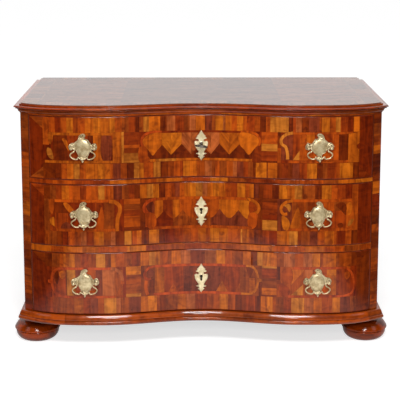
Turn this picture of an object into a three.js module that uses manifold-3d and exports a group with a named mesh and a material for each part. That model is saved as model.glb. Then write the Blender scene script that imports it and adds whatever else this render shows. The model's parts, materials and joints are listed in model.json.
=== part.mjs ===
// Baroque serpentine commode with three long drawers, bun feet and brass handles.
// Millimetres, +Z up, front towards -Y. The group's origin is the middle of its footprint.
// Inside the file, y = 0 is the line through the carcass's two front corners, and y grows to the back.

import * as THREE from 'three';
import { mergeVertices } from 'three/addons/utils/BufferGeometryUtils.js';
import Module from 'manifold-3d';

const wasm = await Module();
wasm.setup();

// Driving dimensions of the carcass

const body_width = 1198;
const body_depth = 612;
const stile_width = 28;
const stile_depth = 45;
const side_thickness = stile_width;
const top_thickness = 24;
const board_thickness = 24;
const back_thickness = 12;
const back_rebate = 14;
const rail_depth = 62;
const runner_width = 42;

// Heights, from the floor up

const overall_height = 831.7;
const foot_height = 90;
const base_moulding_height = 32;
const moulding_drop = 8;
const drawer_height_shares = [0.3333, 0.331, 0.3357];
const rail_thicknesses = [10.8, 13.8, 20.6];
const front_reveal = 1.2;
const glue_gap = 0.3;
const running_gap = 0.3;

// The serpentine front: how far it stands forward of its corners

const centre_advance = 16;
const bulge_advance = 64;
const bulge_inset = 261;
const corner_power = 3.3;
const inner_bulge = 42;
const inner_flat_inset = 59;
const inner_flat_y = 10;
const inner_steps = 7;
const outer_steps = 6;
const outer_station_share = 0.65;

// Mouldings: how far each stands out from the carcass

const top_overhang = 21;
const top_moulding_height = 18.3;
const top_quirk = 2.2;
const top_nose_width = 13;
const field_inset = 3;
const cornice_overhang = 9;
const cornice_height = 12.4;
const base_overhang = 22;
const base_bead_height = 14.7;
const base_bead_width = 6.6;
const base_ovolo_width = 18.5;

// Bun feet

const foot_radius = 78;
const foot_inset_x = 33;
const foot_inset_y = 66;
const foot_back_clearance = 2;
const foot_neck_radius = 30;
const foot_tenon_radius = 14;
const foot_tenon_length = 18;
const foot_tenon_clearance = 0.6;
const foot_segments = 16;

// Drawer boxes

const drawer_side_thickness = 14;
const drawer_back_clearance = 40;
const drawer_bottom_thickness = 8;
const drawer_side_drop = 2;
const groove_depth = 6;
const groove_height = 7;
const tail_count = 4;
const tail_lap_length = 20;
const tail_width_share = 0.7;
const tail_slope = 1 / 6;

// Brass handles

const post_spacing = 76;
const post_reach = 14;
const post_head_radius = 5.8;
const post_stem_radius = 3.4;
const post_collar_radius = 7;
const post_spigot_length = 16;
const pin_radius = 1.8;
const pin_bore_radius = 2.25;
const bail_radius = 2.1;
const bail_swell_radius = 3.3;
const bail_drop = 35;
const finial_length = 11;
const finial_radius = 3.2;
const plate_half_width = 47;
const plate_half_height = 46;
const plate_thickness = 1.6;
const dome_rise = 4.5;
const dome_half_width = 21;
const dome_half_height = 23;
const handle_outset = 50;
const handle_rises = [2, 0, 4];

// Escutcheons, locks and key

const escutcheon_half_width = 22.5;
const escutcheon_above = 44;
const escutcheon_below = 57;
const escutcheon_thickness = 2.4;
const keyhole_radius = 4.6;
const keyhole_slot_width = 5.2;
const keyhole_slot_drop = 15;
const keyhole_rises = [8, 10, 12];
const lock_width = 96;
const lock_above = 50;
const lock_below = 30;
const lock_thickness = 11;
const lock_cover = 13;
const bolt_inset = 2.5;
const bolt_clearance = 0.6;
const mortise_clearance = 0.9;
const key_well_radius = 12.6;
const key_well_depth = 8;
const bolt_width = 16;
const bolt_thickness = 5;
const bolt_throw = 9;
const key_shank_radius = 3;
const key_bow_width = 43;
const key_bow_length = 31;
const key_bow_thickness = 4.4;
const key_bow_bar = 5;
const key_shank_show = 34;
const key_collar_radius = 4.6;
const key_collar_length = 4;
const key_bit_reach = 11;
const key_bit_thickness = 2.2;
const key_bit_width = 6;
const key_tilt = THREE.MathUtils.degToRad(8);

// Faceting

const cut_overrun = 4;
const hole_segments = 12;
const post_segments = 8;
const bail_segments = 5;
const merge_distance = 0.001;

// Levels and half sizes that follow from the sizes above

const half_body = body_width / 2;
const inner_x = half_body - side_thickness;
const front_half = inner_x - front_reveal;
const board_bottom = foot_height + moulding_drop;
const floor_z = board_bottom + board_thickness;
const carcass_z = floor_z + glue_gap;
const back_y = body_depth - back_thickness;
const drawer_back_y = back_y - drawer_back_clearance;
const bulge_x = half_body - bulge_inset;
const inner_flat_x = half_body - inner_flat_inset;
const handle_x = bulge_x + handle_outset;

// What the rails and the gaps round the drawer fronts leave for the fronts
const rails_height = rail_thicknesses.reduce((sum, thickness) => sum + thickness, 0);
const reveals_height = 2 * front_reveal * drawer_height_shares.length;
const carcass_top = overall_height - top_thickness - glue_gap;
const fronts_height = carcass_top - floor_z - rails_height - reveals_height;

// Levels of the three drawers from the top one down, worked out from the bottom one up
const levels = [];
let rail_top = floor_z;
for (const index of [2, 1, 0]) {
  const front_bottom = rail_top + front_reveal;
  const front_top = front_bottom + fronts_height * drawer_height_shares[index];
  const rail_bottom = front_top + front_reveal;
  levels[index] = {
    side_bottom: rail_top + running_gap,
    side_top: front_top - drawer_side_drop,
    front_bottom,
    front_top,
    rail_bottom,
    rail_top: rail_bottom + rail_thicknesses[index],
    keyhole_z: (front_bottom + front_top) / 2 + keyhole_rises[index],
    handle_z: (front_bottom + front_top) / 2 + handle_rises[index],
  };
  rail_top = levels[index].rail_top;
}
const panel_bottom = carcass_top + glue_gap;
const top_z = panel_bottom + top_thickness;

// Materials

function finish(color, roughness, metalness) {
  return new THREE.MeshStandardMaterial({ color, roughness, metalness });
}

const walnut = () => finish(0x7a3413, 0.3, 0);
const walnut_dark = () => finish(0x4e1f0c, 0.3, 0);
const moulding_wood = () => finish(0x8c3108, 0.25, 0);
const pine = () => finish(0xb98a55, 0.75, 0);
const brass = () => finish(0xcdbb8a, 0.35, 1);
const iron = () => finish(0x4a4642, 0.5, 1);

// Solids

// A closed solid from a geometry: shared vertices are merged and the faces are turned outwards
function solid(geometry) {
  const bare = geometry.index ? geometry.toNonIndexed() : geometry.clone();
  bare.deleteAttribute('normal');
  bare.deleteAttribute('uv');
  const merged = mergeVertices(bare, merge_distance);
  const place = merged.attributes.position;
  const index = merged.index.array;
  const corners = [0, 1, 2].map(() => new THREE.Vector3());
  const kept = [];
  let volume = 0;
  for (let i = 0; i < index.length; i += 3) {
    const [a, b, c] = [index[i], index[i + 1], index[i + 2]];
    if (a === b || b === c || c === a) continue;
    [a, b, c].forEach((v, k) => corners[k].fromBufferAttribute(place, v));
    volume += corners[0].dot(corners[1].clone().cross(corners[2]));
    kept.push(a, b, c);
  }
  if (volume < 0) kept.reverse();
  const vertProperties = new Float32Array(place.array);
  const triVerts = new Uint32Array(kept);
  return new wasm.Manifold(new wasm.Mesh({ numProp: 3, vertProperties, triVerts }));
}

function geometry_of(body) {
  const mesh = body.getMesh();
  const geometry = new THREE.BufferGeometry();
  geometry.setAttribute('position', new THREE.BufferAttribute(mesh.vertProperties, 3));
  geometry.setIndex(new THREE.BufferAttribute(mesh.triVerts, 1));
  geometry.computeVertexNormals();
  return geometry;
}

function shape_of(points, holes = []) {
  const shape = new THREE.Shape(points.map(([x, y]) => new THREE.Vector2(x, y)));
  for (const hole of holes) {
    shape.holes.push(new THREE.Path(hole.map(([x, y]) => new THREE.Vector2(x, y))));
  }
  return shape;
}

function extruded(points, depth, holes = []) {
  return new THREE.ExtrudeGeometry(shape_of(points, holes), { depth, bevelEnabled: false });
}

// An outline in x and y, extruded upwards from z0 to z1
function prism(points, z0, z1, holes = []) {
  const geometry = extruded(points, z1 - z0, holes);
  geometry.translate(0, 0, z0);
  return solid(geometry);
}

// An outline in y and z, extruded to the right from x0 to x1
function prism_across(points, x0, x1) {
  const geometry = extruded(points, x1 - x0);
  const [x, y, z] = [new THREE.Vector3(1, 0, 0), new THREE.Vector3(0, 1, 0), new THREE.Vector3(0, 0, 1)];
  geometry.applyMatrix4(new THREE.Matrix4().makeBasis(y, z, x));
  geometry.translate(x0, 0, 0);
  return solid(geometry);
}

// An outline in x and z, extruded forwards from y1 to y0
function prism_forward(points, y0, y1, holes = []) {
  const geometry = extruded(points, y1 - y0, holes);
  geometry.rotateX(Math.PI / 2);
  geometry.translate(0, y1, 0);
  return solid(geometry);
}

function box(x0, x1, y0, y1, z0, z1) {
  return prism([[x0, y0], [x1, y0], [x1, y1], [x0, y1]], z0, z1);
}

// A turned piece: profile is a list of [radius, height], and the axis points along `axis`
function turned(profile, segments, axis) {
  const points = profile.map(([radius, height]) => new THREE.Vector2(radius, height));
  const geometry = new THREE.LatheGeometry(points, segments);
  const turn = new THREE.Quaternion().setFromUnitVectors(new THREE.Vector3(0, 1, 0), axis);
  geometry.applyQuaternion(turn);
  return solid(geometry);
}

const up = new THREE.Vector3(0, 0, 1);
const forward = new THREE.Vector3(0, -1, 0);
const right = new THREE.Vector3(1, 0, 0);

function cylinder(radius, from, axis, length, segments = hole_segments) {
  const rod = turned([[0, 0], [radius, 0], [radius, length], [0, length]], segments, axis);
  return rod.translate(from);
}

// Points on an elliptic arc, angles in quarter turns
function arc(cx, cy, rx, ry, from, to, steps) {
  const points = [];
  for (let i = 0; i <= steps; i += 1) {
    const angle = (Math.PI / 2) * (from + ((to - from) * i) / steps);
    points.push([cx + rx * Math.cos(angle), cy + ry * Math.sin(angle)]);
  }
  return points;
}

// A closed outline drawn smoothly through a few points
function smooth_outline(points, divisions) {
  const knots = points.map(([x, y]) => new THREE.Vector3(x, y, 0));
  const curve = new THREE.CatmullRomCurve3(knots, true, 'centripetal');
  return curve.getPoints(divisions).slice(0, -1).map((p) => [p.x, p.y]);
}

// The serpentine line

const cosine_rise = (share) => (1 - Math.cos(Math.PI * share)) / 2;

function outer_advance(x) {
  const reach = Math.abs(x);
  if (reach <= bulge_x) {
    return centre_advance + (bulge_advance - centre_advance) * cosine_rise(reach / bulge_x);
  }
  const share = Math.min(1, (reach - bulge_x) / (half_body - bulge_x));
  return bulge_advance * (1 - share ** corner_power);
}

function inner_advance(x) {
  const reach = Math.abs(x);
  if (reach <= bulge_x) return inner_bulge * cosine_rise(reach / bulge_x);
  const share = Math.min(1, (reach - bulge_x) / (inner_flat_x - bulge_x));
  return inner_bulge * (1 - cosine_rise(share));
}

// Every piece along the front is faceted at the same stations, so that neighbours fit
const stations = [];
for (let i = -inner_steps; i <= inner_steps; i += 1) stations.push((bulge_x * i) / inner_steps);
for (let i = 1; i <= outer_steps; i += 1) {
  const x = bulge_x + (half_body - bulge_x) * (i / outer_steps) ** outer_station_share;
  stations.push(x);
  stations.unshift(-x);
}

function stations_between(x0, x1) {
  return [x0, ...stations.filter((x) => x > x0 + merge_distance && x < x1 - merge_distance), x1];
}

// The faceted front at x, between its two nearest stations
function facet_advance(x) {
  const after = Math.max(1, stations.findIndex((s) => s >= x - merge_distance));
  const [a, b] = [stations[after - 1], stations[after]];
  const share = (x - a) / (b - a);
  return outer_advance(a) * (1 - share) + outer_advance(b) * share;
}

const front_line = (x0, x1) => stations_between(x0, x1).map((x) => [x, -facet_advance(x)]);

// The drawer front's back follows the bulges with half as many facets, and is flat at its ends
const inner_line = (x0, x1) => {
  const kept = stations.filter((x, i) => Math.abs(x) < inner_flat_x && i % 2 === stations.indexOf(0) % 2);
  return [x0, -inner_flat_x, ...kept, inner_flat_x, x1].map((x) => [x, inner_flat_y - inner_advance(x)]);
};

// Side, front and side of the carcass seen from above, from the back left corner to the back right one
const wrap_line = [[-half_body, body_depth], ...front_line(-half_body, half_body), [half_body, body_depth]];

// At each point of a line, the step that moves its mitred copy outwards by one unit
function mitre_steps(line) {
  const normals = line.slice(1).map(([x, y], i) => {
    const [dx, dy] = [x - line[i][0], y - line[i][1]];
    const length = Math.hypot(dx, dy);
    return [dy / length, -dx / length];
  });
  return line.map((_, i) => {
    const a = normals[Math.max(0, i - 1)];
    const b = normals[Math.min(normals.length - 1, i)];
    const spread = 1 + a[0] * b[0] + a[1] * b[1];
    return [(a[0] + b[0]) / spread, (a[1] + b[1]) / spread];
  });
}

const wrap_steps = mitre_steps(wrap_line);
const wrap_offset = (offset) => wrap_line.map(([x, y], i) => [
  x + wrap_steps[i][0] * offset,
  y + wrap_steps[i][1] * offset,
]);

// A moulding: a closed profile of [offset, height] carried round the wrap line, mitred at the corners
function moulding(profile) {
  const ring_at = ([offset, z]) => wrap_offset(offset).map(([x, y]) => new THREE.Vector3(x, y, z));
  const rings = profile.map(ring_at);
  const count = profile.length;
  const corner = [];
  const face = (...points) => points.forEach((p) => corner.push(p.x, p.y, p.z));
  for (let j = 0; j < count; j += 1) {
    const [low, high] = [rings[j], rings[(j + 1) % count]];
    for (let i = 1; i < wrap_line.length; i += 1) {
      face(low[i - 1], low[i], high[i]);
      face(low[i - 1], high[i], high[i - 1]);
    }
  }
  const flat = profile.map(([offset, z]) => new THREE.Vector2(offset, z));
  for (const [a, b, c] of THREE.ShapeUtils.triangulateShape(flat, [])) {
    const last = wrap_line.length - 1;
    face(rings[a][0], rings[b][0], rings[c][0]);
    face(rings[a][last], rings[c][last], rings[b][last]);
  }
  const geometry = new THREE.BufferGeometry();
  geometry.setAttribute('position', new THREE.Float32BufferAttribute(corner, 3));
  return solid(geometry);
}

// Carcass pieces

function make_top_panel() {
  return prism(wrap_offset(-field_inset), panel_bottom, top_z);
}

// Half-round nose with a small quirk where it meets the top's field
function make_top_edge_moulding() {
  const low = top_z - top_moulding_height;
  const inside = glue_gap - field_inset;
  const nose_height = (top_moulding_height - top_quirk) / 2;
  const centre = top_overhang - top_nose_width;
  const nose = arc(centre, low + nose_height, top_nose_width, nose_height, -1, 1, 6);
  return moulding([[inside, low], ...nose, [inside, top_z - top_quirk]]);
}

// Small ovolo under the top
function make_cornice_moulding() {
  const high = top_z - top_moulding_height - glue_gap;
  const low = high - cornice_height;
  const fillet = cornice_height / 4;
  const step = cornice_overhang / 4;
  const [wide, tall] = [cornice_overhang - 2 * step, cornice_height - 2 * fillet];
  const round = arc(glue_gap + step, high - fillet, wide, tall, -1, 0, 3);
  return moulding([
    [glue_gap, low],
    [glue_gap + step, low],
    ...round,
    [cornice_overhang, high - fillet],
    [cornice_overhang, high],
    [glue_gap, high],
  ]);
}

// Bold ovolo over a half-round bead
function make_base_moulding() {
  const high = foot_height + base_moulding_height - glue_gap;
  const bead_radius = base_bead_height / 2;
  const bead_centre = base_overhang - base_bead_width;
  const bead = arc(bead_centre, foot_height + bead_radius, base_bead_width, bead_radius, -1, 1, 5);
  const ovolo_foot = foot_height + base_bead_height + glue_gap;
  const ovolo = arc(glue_gap, ovolo_foot, base_ovolo_width, high - ovolo_foot, 0, 1, 5);
  return moulding([[glue_gap, foot_height], ...bead, ...ovolo]);
}

function make_side(hand) {
  const [near, far] = [stile_depth + glue_gap, body_depth];
  const rebate_x = inner_x + back_rebate;
  const outline = [
    [half_body, near],
    [half_body, far],
    [rebate_x, far],
    [rebate_x, back_y - glue_gap],
    [inner_x, back_y - glue_gap],
    [inner_x, near],
  ];
  return prism(outline.map(([x, y]) => [hand * x, y]), carcass_z, carcass_top);
}

function make_stile(hand) {
  const front = front_line(inner_x, half_body);
  const outline = [...front, [half_body, stile_depth], [inner_x, stile_depth]];
  return prism(outline.map(([x, y]) => [hand * x, y]), carcass_z, carcass_top);
}

// A front rail between the stiles, with a mortise for the bolt of the lock beneath it
function make_rail(level) {
  const reach = inner_x - glue_gap;
  const outline = [...front_line(-reach, reach), [reach, rail_depth], [-reach, rail_depth]];
  const wide = bolt_width / 2 + mortise_clearance;
  const mortise = box(-wide, wide, bolt_y - mortise_clearance, bolt_y + bolt_thickness + mortise_clearance,
    level.rail_bottom - cut_overrun, level.front_top + bolt_throw + mortise_clearance);
  return prism(outline, level.rail_bottom, level.rail_top).subtract(mortise);
}

function make_bottom_board() {
  const board = prism(wrap_line, board_bottom, floor_z);
  const hole_radius = foot_tenon_radius + foot_tenon_clearance;
  const hole_depth = cut_overrun + foot_tenon_length + glue_gap;
  return foot_places.reduce((cut, { x, y }) => {
    const start = [x, y, board_bottom - cut_overrun];
    return cut.subtract(cylinder(hole_radius, start, up, hole_depth, foot_segments));
  }, board);
}

function make_back_panel() {
  const reach = inner_x + back_rebate - glue_gap;
  return box(-reach, reach, back_y, body_depth, carcass_z, carcass_top);
}

// A drawer runner, or a kicker above the top drawer, glued to the side behind its rail
function make_runner(hand, level) {
  const [a, b] = [inner_x - glue_gap - runner_width, inner_x - glue_gap].map((x) => hand * x);
  return box(Math.min(a, b), Math.max(a, b), rail_depth + glue_gap, back_y - glue_gap,
    level.rail_bottom, level.rail_top);
}

// Bun feet

const foot_reach = half_body - foot_inset_x;
const foot_back_y = body_depth - foot_radius - foot_back_clearance;
const foot_places = [
  { name: 'foot_front_left', x: -foot_reach, y: foot_inset_y },
  { name: 'foot_front_right', x: foot_reach, y: foot_inset_y },
  { name: 'foot_back_left', x: -foot_reach, y: foot_back_y },
  { name: 'foot_back_right', x: foot_reach, y: foot_back_y },
];

// Shares of the foot's radius and of its height below the moulding
const foot_sole_share = 0.7;
const foot_dish_share = 0.9;
const foot_dish_height_share = 0.19;
const foot_groove_share = 0.91;
const foot_bead_height_share = 0.24;
const foot_shoulder_share = 0.66;
const foot_cushion_height_share = 0.4;

function foot_profile() {
  const height = foot_height - glue_gap;
  const sole = foot_radius * foot_sole_share;
  const dish = foot_radius * foot_dish_share;
  const dish_height = height * foot_dish_height_share;
  const groove = foot_radius * foot_groove_share;
  const bead_height = height * foot_bead_height_share;
  const bead_z = dish_height + glue_gap + bead_height / 2;
  const cushion_z = dish_height + 2 * glue_gap + bead_height;
  const shoulder = foot_radius * foot_shoulder_share;
  const neck_top = board_bottom - glue_gap;
  return [
    [0, 0],
    ...arc(sole, dish_height, dish - sole, dish_height, -1, 0, 2),
    ...arc(groove - glue_gap, bead_z, foot_radius - groove + glue_gap, bead_height / 2, -1, 1, 4),
    ...arc(shoulder, cushion_z, groove - shoulder, height * foot_cushion_height_share, 0, 1, 3),
    [shoulder, height],
    [foot_neck_radius, height],
    [foot_neck_radius, neck_top],
    [foot_tenon_radius, neck_top],
    [foot_tenon_radius, neck_top + foot_tenon_length],
    [0, neck_top + foot_tenon_length],
  ];
}

const make_foot = () => turned(foot_profile(), foot_segments, up);

// Dovetails of a drawer's side: four tails from `shoulder` to `tip`, wider towards the tip
// One tail's outline as [y, z] points, from one y to another, made `grow` wider for a socket
function tail_outline(level, index, joint, from, to, grow) {
  const pitch = (level.side_top - level.side_bottom) / tail_count;
  const middle = level.side_bottom + pitch * (index + 0.5);
  const away = Math.sign(joint.tip - joint.shoulder);
  const half_at = (y) => (pitch * tail_width_share) / 2 - (joint.tip - y) * away * tail_slope + grow;
  return [
    [from, middle - half_at(from)],
    [to, middle - half_at(to)],
    [to, middle + half_at(to)],
    [from, middle + half_at(from)],
  ];
}

function tail_edge(level, joint) {
  const points = [];
  for (let i = 0; i < tail_count; i += 1) {
    points.push(...tail_outline(level, i, joint, joint.shoulder, joint.tip, 0));
  }
  return points;
}

// The sockets for both sides' tails in a front or a back, `beyond` past the tails' tips
function tail_sockets(level, joint, beyond) {
  const depth = drawer_side_thickness + glue_gap;
  const away = Math.sign(joint.tip - joint.shoulder);
  const [from, to] = [joint.shoulder - away * cut_overrun, joint.tip + away * beyond];
  const [near, far] = [front_half - depth, front_half + cut_overrun];
  const sockets = [];
  for (let i = 0; i < tail_count; i += 1) {
    const points = tail_outline(level, i, joint, from, to, glue_gap);
    sockets.push(prism_across(points, near, far), prism_across(points, -far, -near));
  }
  return sockets;
}

// Drawer parts

const lock_y = lock_cover - centre_advance;
const bolt_y = lock_y + bolt_inset;
const front_joint = { shoulder: inner_flat_y + glue_gap, tip: inner_flat_y - tail_lap_length };
const back_joint = { shoulder: drawer_back_y - drawer_side_thickness - glue_gap, tip: drawer_back_y };

const groove_bottom = (level) => level.side_bottom + groove_height;

// The space that a lock's bolt slides in
function bolt_channel(z0, z1) {
  const wide = bolt_width / 2 + bolt_clearance;
  return box(-wide, wide, bolt_y - bolt_clearance, bolt_y + bolt_thickness + bolt_clearance, z0, z1);
}

// Keyhole outline in x and z: a round hole over a slot
function keyhole_outline(z, grow) {
  const wide = keyhole_slot_width / 2 + grow;
  const radius = keyhole_radius + grow;
  const start = -1 + Math.asin(wide / radius) / (Math.PI / 2);
  const low = z - keyhole_slot_drop - grow;
  return [[wide, low], ...arc(0, z, radius, radius, start, 2 - start, 8), [-wide, low]];
}

function make_drawer_front(level) {
  const outer = front_line(-front_half, front_half);
  const inner = inner_line(-front_half, front_half).reverse();
  let front = prism([...outer, ...inner], level.front_bottom, level.front_top);
  for (const socket of tail_sockets(level, front_joint, glue_gap)) front = front.subtract(socket);
  const groove_reach = front_half - drawer_side_thickness + groove_depth;
  const groove_front = inner_line(-groove_reach, groove_reach).map(([x, y]) => [x, y - groove_depth]);
  const open = inner_flat_y + cut_overrun;
  front = front.subtract(prism(
    [...groove_front, [groove_reach, open], [-groove_reach, open]],
    groove_bottom(level) - glue_gap,
    groove_bottom(level) + drawer_bottom_thickness + glue_gap,
  ));
  const z = level.keyhole_z;
  const lock_reach = lock_width / 2 + glue_gap;
  front = front.subtract(box(-lock_reach, lock_reach, lock_y - glue_gap, open,
    z - lock_below - glue_gap, z + lock_above + glue_gap));
  front = front.subtract(bolt_channel(z, level.front_top + cut_overrun));
  front = front.subtract(prism_forward(keyhole_outline(z, glue_gap), -bulge_advance, open));
  for (const hand of [-1, 1]) {
    const seat = handle_seat(hand, level);
    for (const end of [-1, 1]) {
      const hole = cylinder(post_stem_radius + glue_gap, [end * post_spacing / 2, -cut_overrun, 0],
        forward.clone().negate(), cut_overrun + post_spigot_length + 2 * glue_gap, post_segments);
      front = front.subtract(placed(hole, seat));
    }
  }
  return front;
}

function make_drawer_side(hand, level) {
  const [low, high] = [level.side_bottom, level.side_top];
  const outline = [
    [front_joint.shoulder, low],
    ...tail_edge(level, front_joint),
    [front_joint.shoulder, high],
    [back_joint.shoulder, high],
    ...tail_edge(level, back_joint).reverse(),
    [back_joint.shoulder, low],
  ];
  const [near, far] = [front_half - drawer_side_thickness, front_half];
  const board = prism_across(outline, near, far);
  const groove = box(near - cut_overrun, near + groove_depth + glue_gap, front_joint.tip - cut_overrun,
    drawer_back_y + cut_overrun, groove_bottom(level) - glue_gap,
    groove_bottom(level) + drawer_bottom_thickness + glue_gap);
  const side = board.subtract(groove);
  return hand > 0 ? side : side.scale([-1, 1, 1]);
}

function make_drawer_back(level) {
  const low = groove_bottom(level) + drawer_bottom_thickness + glue_gap;
  const near = drawer_back_y - drawer_side_thickness;
  let back = box(-front_half, front_half, near, drawer_back_y, low, level.side_top);
  for (const socket of tail_sockets(level, back_joint, cut_overrun)) back = back.subtract(socket);
  return back;
}

function make_drawer_bottom(level) {
  const reach = front_half - drawer_side_thickness + groove_depth - glue_gap;
  const front = inner_line(-reach, reach).map(([x, y]) => [x, y - groove_depth + glue_gap]);
  const outline = [...front, [reach, drawer_back_y], [-reach, drawer_back_y]];
  const low = groove_bottom(level);
  return prism(outline, low, low + drawer_bottom_thickness);
}

// Locks and key

function make_lock_case(level) {
  const z = level.keyhole_z;
  const wide = lock_width / 2;
  const body = box(-wide, wide, lock_y, lock_y + lock_thickness, z - lock_below, z + lock_above);
  const well_floor = [0, lock_y + key_well_depth, z];
  const well = cylinder(key_well_radius, well_floor, forward, key_well_depth + cut_overrun);
  return body.subtract(well).subtract(bolt_channel(z, z + lock_above + cut_overrun));
}

function make_bolt(level) {
  const low = level.keyhole_z + key_well_radius + running_gap;
  const high = level.front_top - running_gap;
  return box(-bolt_width / 2, bolt_width / 2, bolt_y, bolt_y + bolt_thickness, low, high);
}

// Share points of half an escutcheon: [share of half width, share of the height above or below the keyhole]
const escutcheon_upper_shares = [
  [0, 1], [0.2, 0.8], [0.42, 0.62], [0.6, 0.52], [0.7, 0.49],
  [0.7, 0.4], [0.8, 0.33], [0.5, 0.25], [0.55, 0.17], [0.8, 0.17],
];
const escutcheon_lower_shares = [
  [1, -0.01], [0.85, -0.18], [0.64, -0.31], [0.4, -0.47], [0.42, -0.53], [0.62, -0.59], [0.46, -0.66],
  [0.28, -0.7], [0.42, -0.78], [0.3, -0.84], [0.17, -0.88], [0.08, -0.95], [0, -1],
];

function make_escutcheon(level, seat_y) {
  const scaled = (height) => ([x, z]) => [x * escutcheon_half_width, level.keyhole_z + z * height];
  const half = [
    ...escutcheon_upper_shares.map(scaled(escutcheon_above)),
    ...escutcheon_lower_shares.map(scaled(escutcheon_below)),
  ];
  const outline = [...half, ...half.slice(1, -1).reverse().map(([x, z]) => [-x, z])];
  const keyhole = keyhole_outline(level.keyhole_z, 0);
  return prism_forward(outline, seat_y - escutcheon_thickness, seat_y, [keyhole]);
}

// The key stands in the lock with its bow level with its bit, as the real one is made from one bar
function make_key(seat_y) {
  const tip = lock_y + key_well_depth - running_gap;
  const collar_y = seat_y - escutcheon_thickness - running_gap;
  const bow_back = collar_y - key_collar_length - key_shank_show;
  const bow_y = bow_back - key_bow_length / 2 + key_bow_bar;
  const shank = cylinder(key_shank_radius, [0, tip, 0], forward, tip - bow_back, post_segments);
  const collar = cylinder(key_collar_radius, [0, collar_y, 0], forward, key_collar_length, post_segments);
  const ring = arc(0, bow_y, key_bow_width / 2, key_bow_length / 2, 0, 4, 20).slice(0, -1);
  const [wide, long] = [key_bow_width / 2 - key_bow_bar, key_bow_length / 2 - key_bow_bar];
  const eye = arc(0, bow_y, wide, long, 0, 4, 16).slice(0, -1);
  const bow = prism(ring, -key_bow_thickness / 2, key_bow_thickness / 2, [eye]);
  const bit = box(0, key_bit_reach, tip - key_bit_width, tip, -key_bit_thickness / 2, key_bit_thickness / 2);
  return shank.add(collar).add(bow).add(bit);
}

// Handles, in their own frame: x along the front, y into the wood, z up, origin on the plate's back

// A flat piece that seats on the faceted front round x: its place and its turn about z
function seat_on_front(x, half_width) {
  const [a, b] = [facet_advance(x - half_width), facet_advance(x + half_width)];
  const turn = Math.atan2(a - b, 2 * half_width);
  const line = stations_between(x - half_width, x + half_width);
  const lift = Math.max(...line.map((s) => facet_advance(s) + (s - x) * Math.tan(turn)));
  return { x, y: -lift - glue_gap, turn };
}

function handle_seat(hand, level) {
  const seat = seat_on_front(handle_x, plate_half_width);
  return { x: hand * seat.x, y: seat.y, z: level.handle_z, turn: hand * seat.turn };
}

const placed = (body, seat) => body
  .rotate([0, 0, THREE.MathUtils.radToDeg(seat.turn)])
  .translate([seat.x, seat.y, seat.z]);

// Share points of the cartouche outline, counter-clockwise from the left post
const plate_outline_shares = [
  [-1, 0.08], [-0.96, -0.1], [-0.78, -0.14], [-0.53, -0.17], [-0.42, -0.38], [-0.22, -0.55],
  [0.06, -0.6], [0.3, -0.5], [0.49, -0.31], [0.62, -0.15], [0.82, -0.18], [0.97, -0.1],
  [1, 0.08], [0.92, 0.27], [0.78, 0.34], [0.6, 0.27], [0.46, 0.42], [0.36, 0.58],
  [0.2, 0.64], [0.12, 0.74], [0.2, 0.87], [0.13, 0.99], [-0.02, 1.03], [-0.18, 0.97],
  [-0.3, 0.82], [-0.35, 0.62], [-0.5, 0.47], [-0.62, 0.37], [-0.78, 0.36], [-0.93, 0.25],
];
// The plate at the top right differs: its lower edge ends in a fourth lobe
const lobe_outline_shares = [
  [-0.42, -0.38], [-0.22, -0.5], [-0.16, -0.66], [-0.22, -0.84], [-0.08, -1], [0.1, -0.99], [0.22, -0.84],
  [0.16, -0.66], [0.24, -0.5], [0.49, -0.31],
];
const lobe_first = plate_outline_shares.findIndex(([x, z]) => x === -0.42 && z === -0.38);
const lobe_last = plate_outline_shares.findIndex(([x, z]) => x === 0.49 && z === -0.31);
const lobed_outline_shares = [
  ...plate_outline_shares.slice(0, lobe_first),
  ...lobe_outline_shares,
  ...plate_outline_shares.slice(lobe_last + 1),
];

// Points drawn on the smooth outline for each point of the table
const outline_point_share = 1.4;

function make_plate(shares) {
  const points = shares.map(([x, z]) => [x * plate_half_width, z * plate_half_height]);
  const outline = smooth_outline(points, Math.round(shares.length * outline_point_share));
  const flat = prism_forward(outline, -plate_thickness, 0);
  const rise = arc(0, 0, 1, dome_rise, 0, 1, 3).slice(0, -1);
  const dome = turned([[0, 0], ...rise, [0, dome_rise]], hole_segments, forward)
    .scale([dome_half_width, 1, dome_half_height])
    .translate([0, -plate_thickness / 2, 0]);
  let plate = flat.add(dome);
  const ball = arc(0, post_reach, post_head_radius, post_head_radius, -0.5, 1, 3);
  const profile = [
    [0, -post_spigot_length],
    [post_stem_radius, -post_spigot_length],
    [post_stem_radius, plate_thickness / 2],
    [post_collar_radius, plate_thickness],
    [post_collar_radius, plate_thickness * 2],
    [post_stem_radius, plate_thickness * 3],
    ...ball.slice(0, -1),
    [0, post_reach + post_head_radius],
  ];
  for (const end of [-1, 1]) {
    const x = (end * post_spacing) / 2;
    const post = turned(profile, post_segments, forward).translate([x, 0, 0]);
    const bore = cylinder(pin_bore_radius, [x - post_head_radius - cut_overrun, -post_reach, 0], right,
      2 * (post_head_radius + cut_overrun), post_segments);
    plate = plate.add(post).subtract(bore);
  }
  return plate;
}

// Half of the bail's centreline: [share of half the post spacing, share of the drop]
const bail_path_shares = [
  [1.1, 0], [0.8, 0], [0.73, -0.02], [0.69, -0.14], [0.73, -0.26], [0.86, -0.36], [1.01, -0.48],
  [1.08, -0.63], [1, -0.81], [0.83, -0.95], [0.62, -1.02], [0.45, -0.99], [0.37, -0.85],
  [0.26, -0.92], [0.13, -0.99],
];
const cusp_share = 0.37;
// The pendant under the bail's middle: [share of its radius, share of its length]
const finial_shares = [[0, -1], [0.5, -0.85], [1, -0.45], [0.6, 0], [0, 0]];

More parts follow.
